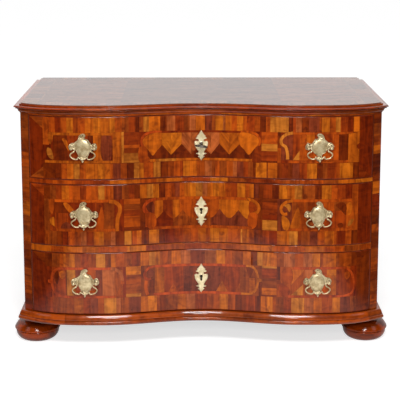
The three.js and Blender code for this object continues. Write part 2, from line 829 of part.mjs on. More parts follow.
// A bar swept along a line in x and z, round in section, its radius given at each point
function swept_bar(points, radii, sides) {
  const count = points.length;
  const ring_at = (i) => {
    const [before, after] = [points[Math.max(0, i - 1)], points[Math.min(count - 1, i + 1)]];
    const along = after.clone().sub(before).normalize();
    const side = new THREE.Vector3(-along.z, 0, along.x);
    return Array.from({ length: sides }, (_, k) => {
      const angle = (2 * Math.PI * k) / sides;
      const spoke = side.clone().multiplyScalar(Math.cos(angle)).addScaledVector(forward, Math.sin(angle));
      return points[i].clone().addScaledVector(spoke, radii[i]);
    });
  };
  const rings = points.map((_, i) => ring_at(i));
  const corner = [];
  const face = (...list) => list.forEach((p) => corner.push(p.x, p.y, p.z));
  for (let i = 1; i < count; i += 1) {
    for (let k = 0; k < sides; k += 1) {
      const next = (k + 1) % sides;
      face(rings[i - 1][k], rings[i - 1][next], rings[i][next]);
      face(rings[i - 1][k], rings[i][next], rings[i][k]);
    }
  }
  for (let k = 1; k < sides - 1; k += 1) {
    face(rings[0][0], rings[0][k + 1], rings[0][k]);
    face(rings[count - 1][0], rings[count - 1][k], rings[count - 1][k + 1]);
  }
  const geometry = new THREE.BufferGeometry();
  geometry.setAttribute('position', new THREE.Float32BufferAttribute(corner, 3));
  return solid(geometry);
}

function make_bail() {
  const half = bail_path_shares.map(([x, z]) => new THREE.Vector3((x * post_spacing) / 2, 0, z * bail_drop));
  const mirrored = half.map((p) => new THREE.Vector3(-p.x, 0, p.z));
  const nodes = [...mirrored, new THREE.Vector3(0, 0, -bail_drop), ...half.reverse()];
  const curve = new THREE.CatmullRomCurve3(nodes, false, 'centripetal');
  const points = curve.getPoints(nodes.length - 1);
  const pin_end = post_spacing / 2 - post_head_radius - running_gap;
  const cusp = (cusp_share * post_spacing) / 2;
  const radii = points.map(({ x, z }) => {
    const reach = Math.abs(x);
    if (z > -bail_radius / 2 && reach > pin_end) return pin_radius;
    if (reach < cusp) return bail_radius + (bail_swell_radius - bail_radius) * cosine_rise(1 - reach / cusp);
    return bail_radius;
  });
  const bar = swept_bar(points, radii, bail_segments);
  const drop = -bail_drop - bail_radius;
  const pendant = finial_shares.map(([radius, height]) => [radius * finial_radius, height * finial_length]);
  const finial = turned(pendant, post_segments, up).translate([0, 0, drop + bail_radius / 2]);
  return bar.add(finial).translate([0, -post_reach, 0]);
}

// Assembly

const commode = new THREE.Group();
commode.name = 'commode';
const front_reach = bulge_advance + base_overhang;
commode.position.set(0, (front_reach - body_depth) / 2, 0);

function add_part(name, body, material, seat = null) {
  const mesh = new THREE.Mesh(geometry_of(body), material);
  mesh.name = name;
  if (seat) {
    mesh.position.set(seat.x, seat.y, seat.z);
    mesh.rotation.z = seat.turn;
    if (seat.roll) mesh.rotation.y = seat.roll;
  }
  commode.add(mesh);
}

add_part('top_panel', make_top_panel(), walnut());
add_part('top_edge_moulding', make_top_edge_moulding(), moulding_wood());
add_part('cornice_moulding', make_cornice_moulding(), moulding_wood());
add_part('base_moulding', make_base_moulding(), moulding_wood());
add_part('bottom_board', make_bottom_board(), pine());
add_part('back_panel', make_back_panel(), pine());
const hands = [['left', -1], ['right', 1]];
for (const [side, hand] of hands) {
  add_part(`side_${side}`, make_side(hand), walnut());
  add_part(`stile_${side}`, make_stile(hand), walnut_dark());
  add_part(`kicker_${side}`, make_runner(hand, levels[0]), pine());
  add_part(`runner_1_${side}`, make_runner(hand, levels[1]), pine());
  add_part(`runner_2_${side}`, make_runner(hand, levels[2]), pine());
}
add_part('top_rail', make_rail(levels[0]), walnut());
add_part('rail_1', make_rail(levels[1]), walnut());
add_part('rail_2', make_rail(levels[2]), walnut());

const foot = make_foot();
for (const place of foot_places) add_part(place.name, foot, walnut_dark(), { ...place, z: 0, turn: 0 });

const escutcheon_seat = seat_on_front(0, escutcheon_half_width);
const plate = make_plate(plate_outline_shares);
const lobed_plate = make_plate(lobed_outline_shares);
const bail = make_bail();

levels.forEach((level, index) => {
  const drawer = `drawer_${index + 1}`;
  add_part(`${drawer}_front`, make_drawer_front(level), walnut());
  for (const [side, hand] of hands) add_part(`${drawer}_side_${side}`, make_drawer_side(hand, level), pine());
  add_part(`${drawer}_back`, make_drawer_back(level), pine());
  add_part(`${drawer}_bottom`, make_drawer_bottom(level), pine());
  add_part(`escutcheon_${index + 1}`, make_escutcheon(level, escutcheon_seat.y), brass());
  add_part(`lock_case_${index + 1}`, make_lock_case(level), iron());
  add_part(`lock_bolt_${index + 1}`, make_bolt(level), iron());
  for (const [side, hand] of hands) {
    const seat = handle_seat(hand, level);
    const is_lobed = index === 0 && hand > 0;
    const cast = is_lobed ? lobed_plate : plate;
    add_part(`handle_plate_${index + 1}_${side}`, hand < 0 ? cast : cast.scale([-1, 1, 1]), brass(), seat);
    add_part(`bail_${index + 1}_${side}`, bail, brass(), seat);
  }
});

const key_seat = { x: 0, y: 0, z: levels[0].keyhole_z, turn: 0, roll: key_tilt };
add_part('key', make_key(escutcheon_seat.y), iron(), key_seat);

export default commode;
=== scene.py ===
# A serpentine walnut commode: parquetry, mouldings, turned feet and brass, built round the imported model.
# Metres, +Z up, front towards -Y. Outlines and tiles are in millimetres and become metres when used.

import json
import math
import random

import bmesh
import bpy
import numpy as np
from mathutils import Matrix, Vector
from mathutils.geometry import delaunay_2d_cdt


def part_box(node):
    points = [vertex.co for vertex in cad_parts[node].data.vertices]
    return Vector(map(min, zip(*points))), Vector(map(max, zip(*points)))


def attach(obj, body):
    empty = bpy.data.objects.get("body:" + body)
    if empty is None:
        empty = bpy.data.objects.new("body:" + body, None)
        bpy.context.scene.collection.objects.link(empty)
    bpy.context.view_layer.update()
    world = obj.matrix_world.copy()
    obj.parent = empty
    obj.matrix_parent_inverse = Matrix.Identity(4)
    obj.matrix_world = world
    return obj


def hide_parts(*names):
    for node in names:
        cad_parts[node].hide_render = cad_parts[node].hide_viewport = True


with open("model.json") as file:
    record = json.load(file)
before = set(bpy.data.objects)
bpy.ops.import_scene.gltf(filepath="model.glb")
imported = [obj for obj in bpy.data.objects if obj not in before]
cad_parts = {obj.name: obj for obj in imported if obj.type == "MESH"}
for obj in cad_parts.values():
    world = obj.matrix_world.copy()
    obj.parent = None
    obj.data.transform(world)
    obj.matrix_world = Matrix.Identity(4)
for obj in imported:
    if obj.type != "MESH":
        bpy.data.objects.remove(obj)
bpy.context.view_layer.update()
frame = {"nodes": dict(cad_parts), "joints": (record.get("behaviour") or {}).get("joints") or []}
chance = random.Random(1750)
MM = 0.001

# Sizes of the model

HALF_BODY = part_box("side_right")[1].x
BACK_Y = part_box("side_right")[1].y
BODY_DEPTH = 0.612
CORNER_Y = BACK_Y - BODY_DEPTH
BULGE_X = 0.338
CENTRE_ADVANCE = 0.016
BULGE_ADVANCE = 0.064
CORNER_POWER = 3.3
INNER_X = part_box("stile_right")[0].x
TOP_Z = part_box("top_panel")[1].z
POST_HALF = 0.038
POST_REACH = 0.014
BAIL_DROP = 0.035
HANDLE_TURN = math.radians(1.764)
DRAWERS = (1, 2, 3)
SIDES = {"left": -1, "right": 1}


# The serpentine line

def advance(x):
    """How far the front stands forward of its corners."""
    reach = abs(x)
    if reach <= BULGE_X:
        rise = (1 - math.cos(math.pi * reach / BULGE_X)) / 2
        return CENTRE_ADVANCE + (BULGE_ADVANCE - CENTRE_ADVANCE) * rise
    share = min(1, (reach - BULGE_X) / (HALF_BODY - BULGE_X))
    return BULGE_ADVANCE * (1 - share**CORNER_POWER)


def front_y(x):
    return CORNER_Y - advance(x)


# Node helpers

def add_node(tree, kind, inputs=None, **settings):
    made = tree.nodes.new("ShaderNode" + kind)
    for key, value in settings.items():
        setattr(made, key, value)
    for key, value in (inputs or {}).items():
        if isinstance(value, bpy.types.NodeSocket):
            tree.links.new(value, made.inputs[key])
        else:
            made.inputs[key].default_value = value
    return made


def new_material(name, **values):
    """A material with a Principled shader whose uniform numbers are set on its own sockets."""
    material = bpy.data.materials.new(name)
    material.use_nodes = True
    tree = material.node_tree
    shader = tree.nodes["Principled BSDF"]
    for key, value in values.items():
        shader.inputs[key.replace("_", " ")].default_value = value
    return material, tree, shader


def math_node(tree, operation, *values):
    return add_node(tree, "Math", dict(enumerate(values)), operation=operation).outputs[0]


def noise(tree, vector, scale, detail=4.0, roughness=0.55, distortion=0.0):
    place = add_node(tree, "VectorMath", {0: vector, 1: scale}, operation="MULTIPLY").outputs[0]
    values = {"Scale": 1.0, "Detail": detail, "Roughness": roughness, "Distortion": distortion}
    return add_node(tree, "TexNoise", {"Vector": place, **values}).outputs["Fac"]


def remap(tree, value, low, high, to_low=0.0, to_high=1.0):
    inputs = {"Value": value, "From Min": low, "From Max": high, "To Min": to_low, "To Max": to_high}
    return add_node(tree, "MapRange", inputs, interpolation_type="SMOOTHSTEP").outputs[0]


def mix(tree, factor, first, second, blend="MIX"):
    inputs = {"Factor": factor, 6: first, 7: second}
    return add_node(tree, "Mix", inputs, data_type="RGBA", blend_type=blend).outputs[2]


def bump(tree, shader, height, distance, strength=1.0, socket="Normal"):
    made = add_node(tree, "Bump", {"Height": height, "Distance": distance, "Strength": strength})
    tree.links.new(made.outputs[0], shader.inputs[socket])


def ray_kinds(tree):
    """1 for rays from the camera or through glass and else 0, and the same for rays off a mirror."""
    path = add_node(tree, "LightPath").outputs
    seen = math_node(tree, "MAXIMUM", path["Is Camera Ray"], path["Is Transmission Ray"])
    return seen, path["Is Glossy Ray"]


def linear(red, green, blue):
    """A colour written as it looks on screen, 0 to 255, as linear shares."""
    shares = [v / 255 for v in (red, green, blue)]
    return tuple(s / 12.92 if s <= 0.04045 else ((s + 0.055) / 1.055) ** 2.4 for s in shares) + (1.0,)


# Tones of the veneers, as they look under plain light

TONES = {
    "bright": linear(172, 83, 7),
    "orange": linear(166, 74, 5),
    "tan": linear(168, 90, 20),
    "pink": linear(154, 71, 24),
    "coral": linear(162, 56, 7),
    "orange_red": linear(156, 59, 3),
    "mid": linear(146, 56, 3),
    "red": linear(132, 44, 2),
    "umber": linear(130, 51, 5),
    "plum": linear(112, 41, 13),
    "dark_red": linear(110, 30, 0),
    "dark": linear(108, 35, 0),
    "darkest": linear(98, 29, 0),
    "top_mid": linear(112, 58, 30),
    "top_dark": linear(96, 50, 28),
    "top_light": linear(124, 70, 38),
}


# Materials

def make_veneer_material(name, coat):
    """Polished veneer: every tile has its own tone and grain direction, stored on the mesh."""
    polish = dict(Coat_Weight=coat, Coat_Roughness=0.08, Coat_IOR=1.5)
    material, tree, shader = new_material(name, Roughness=0.42, Specular_IOR_Level=0.08, **polish)
    grain = add_node(tree, "Attribute", attribute_name="grain").outputs["Vector"]
    tone = add_node(tree, "Attribute", attribute_name="tone").outputs["Color"]
    place = add_node(tree, "TexCoord").outputs["Object"]
    streaks = noise(tree, grain, (14.0, 120.0, 40.0), 4.0, 0.6, 1.2)
    fibres = noise(tree, grain, (22.0, 700.0, 40.0), 4.0, 0.65, 0.3)
    figure = noise(tree, grain, (34.0, 22.0, 40.0), 1.6, 0.5, 1.6)
    pores = noise(tree, grain, (90.0, 1900.0, 40.0), 2.0, 0.5)
    knots = noise(tree, grain, (30.0, 34.0, 90.0), 2.0, 0.4, 0.3)
    fading = noise(tree, place, (5.0, 5.0, 7.0), 4.0, 0.6)
    shade = noise(tree, grain, (5.0, 44.0, 40.0), 2.0, 0.5, 1.4)
    for part, share in ((streaks, 0.42), (fibres, 0.14), (figure, 0.66), (fading, 0.58)):
        shade = math_node(tree, "MULTIPLY_ADD", part, share, shade)
    knot = remap(tree, knots, 0.66, 0.75)
    pore = remap(tree, pores, 0.60, 0.70)
    dark = mix(tree, 1.0, tone, (0.42, 0.34, 0.28, 1.0), "MULTIPLY")
    light = mix(tree, 1.0, tone, (1.42, 1.6, 2.1, 1.0), "MULTIPLY")
    body = mix(tree, remap(tree, shade, 0.95, 1.85), dark, light)
    for mark, share in ((pore, 0.2), (knot, 0.75)):
        body = mix(tree, math_node(tree, "MULTIPLY", mark, share), body, dark)
    tree.links.new(body, shader.inputs["Base Color"])
    wave = noise(tree, grain, (14.0, 14.0, 10.0), 2.0)
    bump(tree, shader, math_node(tree, "MULTIPLY_ADD", pore, -0.12, wave), 0.0006)
    bump(tree, shader, wave, 0.0005, socket="Coat Normal")
    return material


def shaded(colour, factor):
    return tuple(min(1.0, c * factor) for c in colour[:3]) + (1.0,)


def make_solid_wood(name, colour, along, roughness, coat=0.0, ring=46.0, contrast=1.0, board=0.0):
    """Wood through and through, with rings and fibres along one axis, in boards where a width is given."""
    values = dict(Roughness=roughness, Coat_Weight=coat, Coat_Roughness=0.14, Specular_IOR_Level=0.0)
    material, tree, shader = new_material(name, **values)
    place = add_node(tree, "TexCoord").outputs["Object"]
    ring_scale, fibre_scale = [ring] * 3, [ring * 16] * 3
    ring_scale[along], fibre_scale[along] = 2.4, 14.0
    rings = noise(tree, place, ring_scale, 3.0, 0.5, 0.8)
    fibres = noise(tree, place, fibre_scale, 4.0, 0.6)
    shade = math_node(tree, "MULTIPLY_ADD", fibres, 0.35, math_node(tree, "MULTIPLY", rings, 0.9))
    dark, light = shaded(colour, 1 - 0.6 * contrast), shaded(colour, 1 + 0.35 * contrast)
    body = mix(tree, remap(tree, shade, 0.38, 0.85), dark, light)
    if board:
        height = add_node(tree, "SeparateXYZ", {0: place}).outputs["Z"]
        joint = remap(tree, math_node(tree, "PINGPONG", height, board / 2), 0.0, 0.0018, 1.0, 0.0)
        body = mix(tree, joint, body, (0.02, 0.01, 0.005, 1.0))
    tree.links.new(body, shader.inputs["Base Color"])
    bump(tree, shader, fibres, 0.0003)
    return material


def make_brass(name, pale, warm):
    """Cast and chased brass under old lacquer: pale where it is polished, dark brown in the hollows, partly
    old grime and partly painted shade.
    """
    material, tree, shader = new_material(name, Metallic=0.5, Specular_IOR_Level=0.9)
    place = add_node(tree, "TexCoord").outputs["Object"]
    tarnish = noise(tree, place, (60.0, 60.0, 60.0), 5.0, 0.6)
    grime = noise(tree, place, (500.0, 500.0, 500.0), 3.0, 0.6)
    # Ambient occlusion mask of the hollows, which carries both grime and painted shade.
    hollow_grime_and_shade = add_node(tree, "AmbientOcclusion", {"Distance": 0.006}, samples=6).outputs["AO"]
    colour = mix(tree, remap(tree, tarnish, 0.35, 0.7), pale, warm)
    # Painted shade, with some grime: the brass turns dark brown wherever the occlusion mask finds a recess.
    colour = mix(tree, remap(tree, hollow_grime_and_shade, 0.5, 0.96), linear(70, 46, 16), colour)
    tree.links.new(colour, shader.inputs["Base Color"])
    tree.links.new(remap(tree, tarnish, 0.3, 0.75, 0.3, 0.48), shader.inputs["Roughness"])
    bump(tree, shader, grime, 0.00025, 0.6)
    return material


def make_iron():
    material, tree, shader = new_material("iron", Metallic=0.9)
    place = add_node(tree, "TexCoord").outputs["Object"]
    spots = noise(tree, place, (160.0, 160.0, 160.0), 5.0, 0.65)
    rust = mix(tree, remap(tree, spots, 0.42, 0.72), linear(112, 106, 98), linear(70, 52, 42))
    tree.links.new(rust, shader.inputs["Base Color"])
    tree.links.new(remap(tree, spots, 0.3, 0.7, 0.28, 0.6), shader.inputs["Roughness"])
    bump(tree, shader, spots, 0.0005)
    return material


ALONG_X, ALONG_Y = 0, 1
PINE = linear(208, 146, 88)
BACK_PINE = linear(176, 118, 68)
BACK_BOARD_WIDTH = 0.262

veneer_material = make_veneer_material("veneer", 0.48)
moulded_wood = make_veneer_material("moulded_walnut", 0.54)
foot_wood = make_solid_wood("turned_walnut", linear(138, 50, 4), ALONG_X, 0.35, coat=0.5)
pine_x = make_solid_wood("pine_along_x", PINE, ALONG_X, 0.6, ring=90.0, contrast=0.5)
back_boards = make_solid_wood("back_boards", BACK_PINE, ALONG_X, 0.7, 0.0, 80.0, 0.6, BACK_BOARD_WIDTH)
pine_y = make_solid_wood("pine_along_y", PINE, ALONG_Y, 0.6, ring=90.0, contrast=0.5)
dark_edge = make_solid_wood("carcass_walnut", linear(84, 34, 14), ALONG_X, 0.4, ring=60.0, contrast=0.7)
brass = make_brass("brass", linear(219, 200, 156), linear(162, 136, 91))
bright_brass = make_brass("bright_brass", linear(244, 228, 186), linear(214, 190, 142))
iron = make_iron()


# Mesh helpers

SHARP_ANGLE = math.radians(38)


def to_object(name, mesh_tool, material, body, stands_for=(), sharp=SHARP_ANGLE):
    """Makes the object from a bmesh, soft except over sharp edges, and lets it ride on its body."""
    for edge in mesh_tool.edges:
        if len(edge.link_faces) == 2 and edge.calc_face_angle(0) > sharp:
            edge.smooth = False
    for face in mesh_tool.faces:
        face.smooth = True
    mesh = bpy.data.meshes.new(name)
    mesh_tool.to_mesh(mesh)
    mesh_tool.free()
    mesh.materials.append(material)
    made = bpy.data.objects.new(name, mesh)
    bpy.context.scene.collection.objects.link(made)
    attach(made, body)
    if stands_for:
        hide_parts(*stands_for)


def catmull(points, per_segment, closed=False):
    """Points on a centripetal Catmull-Rom curve through the given ones."""
    given = [np.array(p, float) for p in points]
    count = len(given)
    last = count if closed else count - 1

    def point_at(i):
        if closed:
            return given[i % count]
        if i < 0:
            return 2 * given[0] - given[1]
        if i >= count:
            return 2 * given[-1] - given[-2]
        return given[i]

    made = []
    for i in range(last):
        p0, p1, p2, p3 = (point_at(i + k) for k in (-1, 0, 1, 2))
        d0, d1, d2 = (max(1e-9, np.linalg.norm(b - a)) ** 0.5 for a, b in ((p0, p1), (p1, p2), (p2, p3)))
        t1 = ((p1 - p0) / d0 - (p2 - p0) / (d0 + d1) + (p2 - p1) / d1) * d1
        t2 = ((p2 - p1) / d1 - (p3 - p1) / (d1 + d2) + (p3 - p2) / d2) * d1
        for k in range(per_segment):
            t = k / per_segment
            made.append(
                (2 * t**3 - 3 * t**2 + 1) * p1
                + (t**3 - 2 * t**2 + t) * t1
                + (3 * t**2 - 2 * t**3) * p2
                + (t**3 - t**2) * t2
            )
    if not closed:
        made.append(given[-1])
    return [tuple(p) for p in made]


def round_steps(count):
    """Cosine and sine of even steps round a turn."""
    return [(math.cos(2 * math.pi * k / count), math.sin(2 * math.pi * k / count)) for k in range(count)]


def skin(made, rings):
    """Faces between rings of points, each ring joined to the next. A ring of one point is a tip."""
    count = max(len(ring) for ring in rings)
    for low, high in zip(rings, rings[1:]):
        for k in range(count):
            n = (k + 1) % count
            corners = (low[k % len(low)], low[n % len(low)], high[n % len(high)], high[k % len(high)])
            unique = list(dict.fromkeys(corners))
            if len(unique) > 2:
                made.faces.new(unique)


def in_metres(points):
    return [(a * MM, b * MM) for a, b in points]


def arc(cx, cz, rx, rz, start, end, count):
    """Points on an elliptic arc in the (offset, height) plane, angles in quarter turns."""
    angles = [math.pi / 2 * (start + (end - start) * i / count) for i in range(count + 1)]
    return [(cx + rx * math.cos(angle), cz + rz * math.sin(angle)) for angle in angles]


def stretches(start, end, count):
    """Equal stretches from start to end, each as (where it starts, where it ends)."""
    ends = [start + (end - start) * i / count for i in range(count + 1)]
    return list(zip(ends, ends[1:]))


def inside(polygon, xs, zs):
    """Which of the points lie inside a polygon."""
    hit = np.zeros(len(xs), bool)
    count = len(polygon)
    for i in range(count):
        (x1, z1), (x2, z2) = polygon[i], polygon[(i + 1) % count]
        if z1 == z2:
            continue
        crosses = (z1 > zs) != (z2 > zs)
        hit ^= crosses & (xs < (x2 - x1) * (zs - z1) / (z2 - z1) + x1)
    return hit


def triangulate(loops, lines=(), points=()):
    """Constrained triangles over closed loops, straight lines and loose points."""
    places, edges = [], []
    for loop in loops:
        start = len(places)
        places.extend(loop)
        edges.extend((start + i, start + (i + 1) % len(loop)) for i in range(len(loop)))
    for a, b in lines:
        edges.append((len(places), len(places) + 1))
        places.extend((a, b))
    places.extend(points)
    made = delaunay_2d_cdt([Vector(p) for p in places], edges, [], 0, 2e-6)
    return [(v.x, v.y) for v in made[0]], [tuple(f) for f in made[2]]


# Veneer sheets

GLUE_LINE = 0.00025
GLUE_SHADE = 0.5
GRAIN_SPREAD = 0.5
TONE_SPREAD = 0.09
TURN_SPREAD = 2
SKIRT = 0.009
THIN_ARRIS = 0.0008
EDGE_LIFT = 0.00015
SHARPEST_MITRE = 0.3
SMALLEST_AREA = 1e-12


def veneer_sheet(name, body, outline, tiles, place, facing, cuts=(), rounding=THIN_ARRIS, holes=()):
    """A sheet of tiles, each (polygon, tone, grain angle in degrees). Later ones cover earlier ones.

    place(a, b, d) gives the point of the sheet at a and b, d under its surface.
    """
    corners, triangles = triangulate([outline, *holes] + [t[0] for t in tiles], cuts)
    places = np.array(corners)
    index = np.array(triangles)
    centres = places[index].mean(axis=1)
    kept = inside(outline, centres[:, 0], centres[:, 1])
    for hole in holes:
        kept &= ~inside(hole, centres[:, 0], centres[:, 1])
    owner = np.full(len(index), -1)
    for number, (polygon, _, _) in enumerate(tiles):
        owner[inside(polygon, centres[:, 0], centres[:, 1])] = number
    made = bmesh.new()
    tile_of = made.faces.layers.int.new("tile")
    verts = [made.verts.new((a, b, 0)) for a, b in corners]
    members = {}
    for triangle, number, keep in zip(index, owner, kept):
        a, b, c = places[triangle]
        area = (b[0] - a[0]) * (c[1] - a[1]) - (b[1] - a[1]) * (c[0] - a[0])
        if not keep or number < 0 or abs(area) < SMALLEST_AREA:
            continue
        order = triangle if area > 0 else triangle[::-1]
        face = made.faces.new([verts[i] for i in order])
        face[tile_of] = int(number)
        members.setdefault(int(number), []).append(face)
    for number, faces in members.items():
        rim = bmesh.ops.inset_region(made, faces=faces, use_boundary=True, thickness=GLUE_LINE)
        for face in rim["faces"]:
            face[tile_of] = -1 - number
    loose = [v for v in made.verts if not v.link_faces]
    bmesh.ops.delete(made, geom=loose, context="VERTS")

    # Rounded arris, and the edge that goes back into the wood
    outward = {}
    border = [e for e in made.edges if len(e.link_faces) == 1]
    for edge in border:
        loop = edge.link_loops[0]
        along = loop.link_loop_next.vert.co - loop.vert.co
        if along.length < 1e-9:
            continue
        normal = Vector((along.y, -along.x, 0)).normalized()
        for vert in edge.verts:
            outward.setdefault(vert, []).append(normal)
    angles = (math.pi / 6, math.pi / 3, math.pi / 2)
    steps = [(math.sin(a) * rounding, (1 - math.cos(a)) * rounding) for a in angles]
    steps.append((rounding, rounding + SKIRT))
    rings = {}
    for vert, normals in outward.items():
        total = sum(normals, Vector())
        away = total.normalized() / max(SHARPEST_MITRE, total.length / len(normals))
        rings[vert] = [vert]
        for out, back in steps:
            rings[vert].append(made.verts.new(vert.co + away * out + Vector((0, 0, back))))
    for edge in border:
        loop = edge.link_loops[0]
        first, second = loop.vert, loop.link_loop_next.vert
        if first not in rings or second not in rings:
            continue
        near, far = rings[second], rings[first]
        for k in range(len(steps)):
            face = made.faces.new((near[k], far[k], far[k + 1], near[k + 1]))
            face[tile_of] = edge.link_faces[0][tile_of]

    # Grain and tone of each tile
    tone_layer = made.loops.layers.float_color.new("tone")
    grain_layer = made.loops.layers.float_vector.new("grain")
    looks = []
    for _, tone, angle in tiles:
        lift = 1 + chance.uniform(-TONE_SPREAD, TONE_SPREAD)
        shift = [chance.uniform(0, GRAIN_SPREAD) for _ in range(3)]
        turn = math.radians(angle + chance.uniform(-TURN_SPREAD, TURN_SPREAD))
        colour = tuple(c * lift for c in TONES[tone][:3]) + (1.0,)
        looks.append((colour, math.cos(turn), math.sin(turn), shift))
    for face in made.faces:
        number = face[tile_of]
        colour, cosine, sine, shift = looks[number if number >= 0 else -1 - number]
        if number < 0:
            colour = tuple(c * GLUE_SHADE for c in colour[:3]) + (1.0,)
        for loop in face.loops:
            a, b, _ = loop.vert.co
            loop[tone_layer] = colour
            loop[grain_layer] = (a * cosine + b * sine + shift[0], b * cosine - a * sine + shift[1], shift[2])
    for vert in made.verts:
        vert.co = place(*vert.co)
    made.normal_update()
    if sum((f.normal for f in made.faces), Vector()).dot(facing) < 0:
        bmesh.ops.reverse_faces(made, faces=made.faces[:])
    to_object(name, made, veneer_material, body)


# Tiles, in millimetres: each is (outline in metres, tone, grain angle in degrees)

def block(x0, x1, z0, z1, tone, angle=90):
    """A straight tile, with upright grain unless an angle is given."""
    return in_metres([(x0, z0), (x1, z0), (x1, z1), (x0, z1)]), tone, angle


def piece(tone, *points, angle=90):
    """A tile with straight sides."""
    return in_metres(points), tone, angle


def leaf(tone, *points, angle=90):
    """A tile with a smooth outline."""
    return in_metres(catmull(points, 5, closed=True)), tone, angle


def strap(tone, width, *points, angle=90):
    """A curved band of even width along a line."""
    line = [Vector(p) for p in catmull(points, 5)]
    near, far = [], []
    for i, point in enumerate(line):
        along = (line[min(i + 1, len(line) - 1)] - line[max(i - 1, 0)]).normalized()
        side = Vector((-along.y, along.x)) * width / 2
        near.append(tuple(point + side))
        far.append(tuple(point - side))
    return in_metres(near + far[::-1]), tone, angle


def listed(text):
    """Tones and where each ends, from a list such as "red 20, umber 45"."""
    return [(tone, float(end)) for tone, end in (part.split() for part in text.split(","))]


def row(z0, z1, start, text):
    """Blocks side by side from a start: the text lists the tone of each and where it ends."""
    made = []
    for tone, end in listed(text):
        made.append(block(start, end, z0, z1, tone))
        start = end
    return made


def stack(x0, x1, top, text):
    """Blocks one under another, with level grain: the text lists the tone of each and where it ends."""
    made = []
    for tone, low in listed(text):
        made.append(block(x0, x1, low, top, tone, 0))
        top = low
    return made


def ogee(tone, middle, half, low, high, valley):
    """A pointed arch with hollow shoulders."""
    rise = high - valley
    shoulder = [(middle - half, valley), (middle - half * 0.72, valley + rise * 0.12)]
    shoulder += [(middle - half * 0.4, valley + rise * 0.45), (middle - half * 0.14, valley + rise * 0.8)]
    right = [(2 * middle - x, z) for x, z in reversed(shoulder)]
    points = [(middle - half, low)] + shoulder + [(middle, high)] + right + [(middle + half, low)]
    return in_metres(points), tone, 90


END_PANEL_NEAR = 521
END_PANEL_FAR = 571
END_MITRE = 42


def end_panel(hand, z0, z1, upper, lower, tone="dark_red"):
    """The upright panel at a drawer's end, with mitred corners at its top and bottom."""
    near, far = END_PANEL_NEAR * hand, END_PANEL_FAR * hand
    made = [block(min(near, far), max(near, far), z0, z1, tone)]
    for corner, edge, inward in ((upper, z1, -END_MITRE), (lower, z0, END_MITRE)):
        if corner:
            made.append(piece(corner, (near, edge), (far, edge), (near, edge + inward), angle=0))
    return made


# Parquetry of the three drawers, read from the outside in and from the top down

def teeth(low, high, top, peaks, tips, tones):
    """Pointed lobes that hang from the top of the panel."""
    made = []
    for i, (tip, tone) in enumerate(zip(tips, tones)):
        left, right = peaks[i], peaks[i + 1]
        made.append(piece(tone, (left, top), (left, high), (tip, low), (tip, top), angle=124))
        made.append(piece(tone, (tip, top), (tip, low), (right, high), (right, top), angle=56))
    return made


def front_heights(number):
    low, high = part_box(f"drawer_{number}_front")
    return low.z / MM, high.z / MM


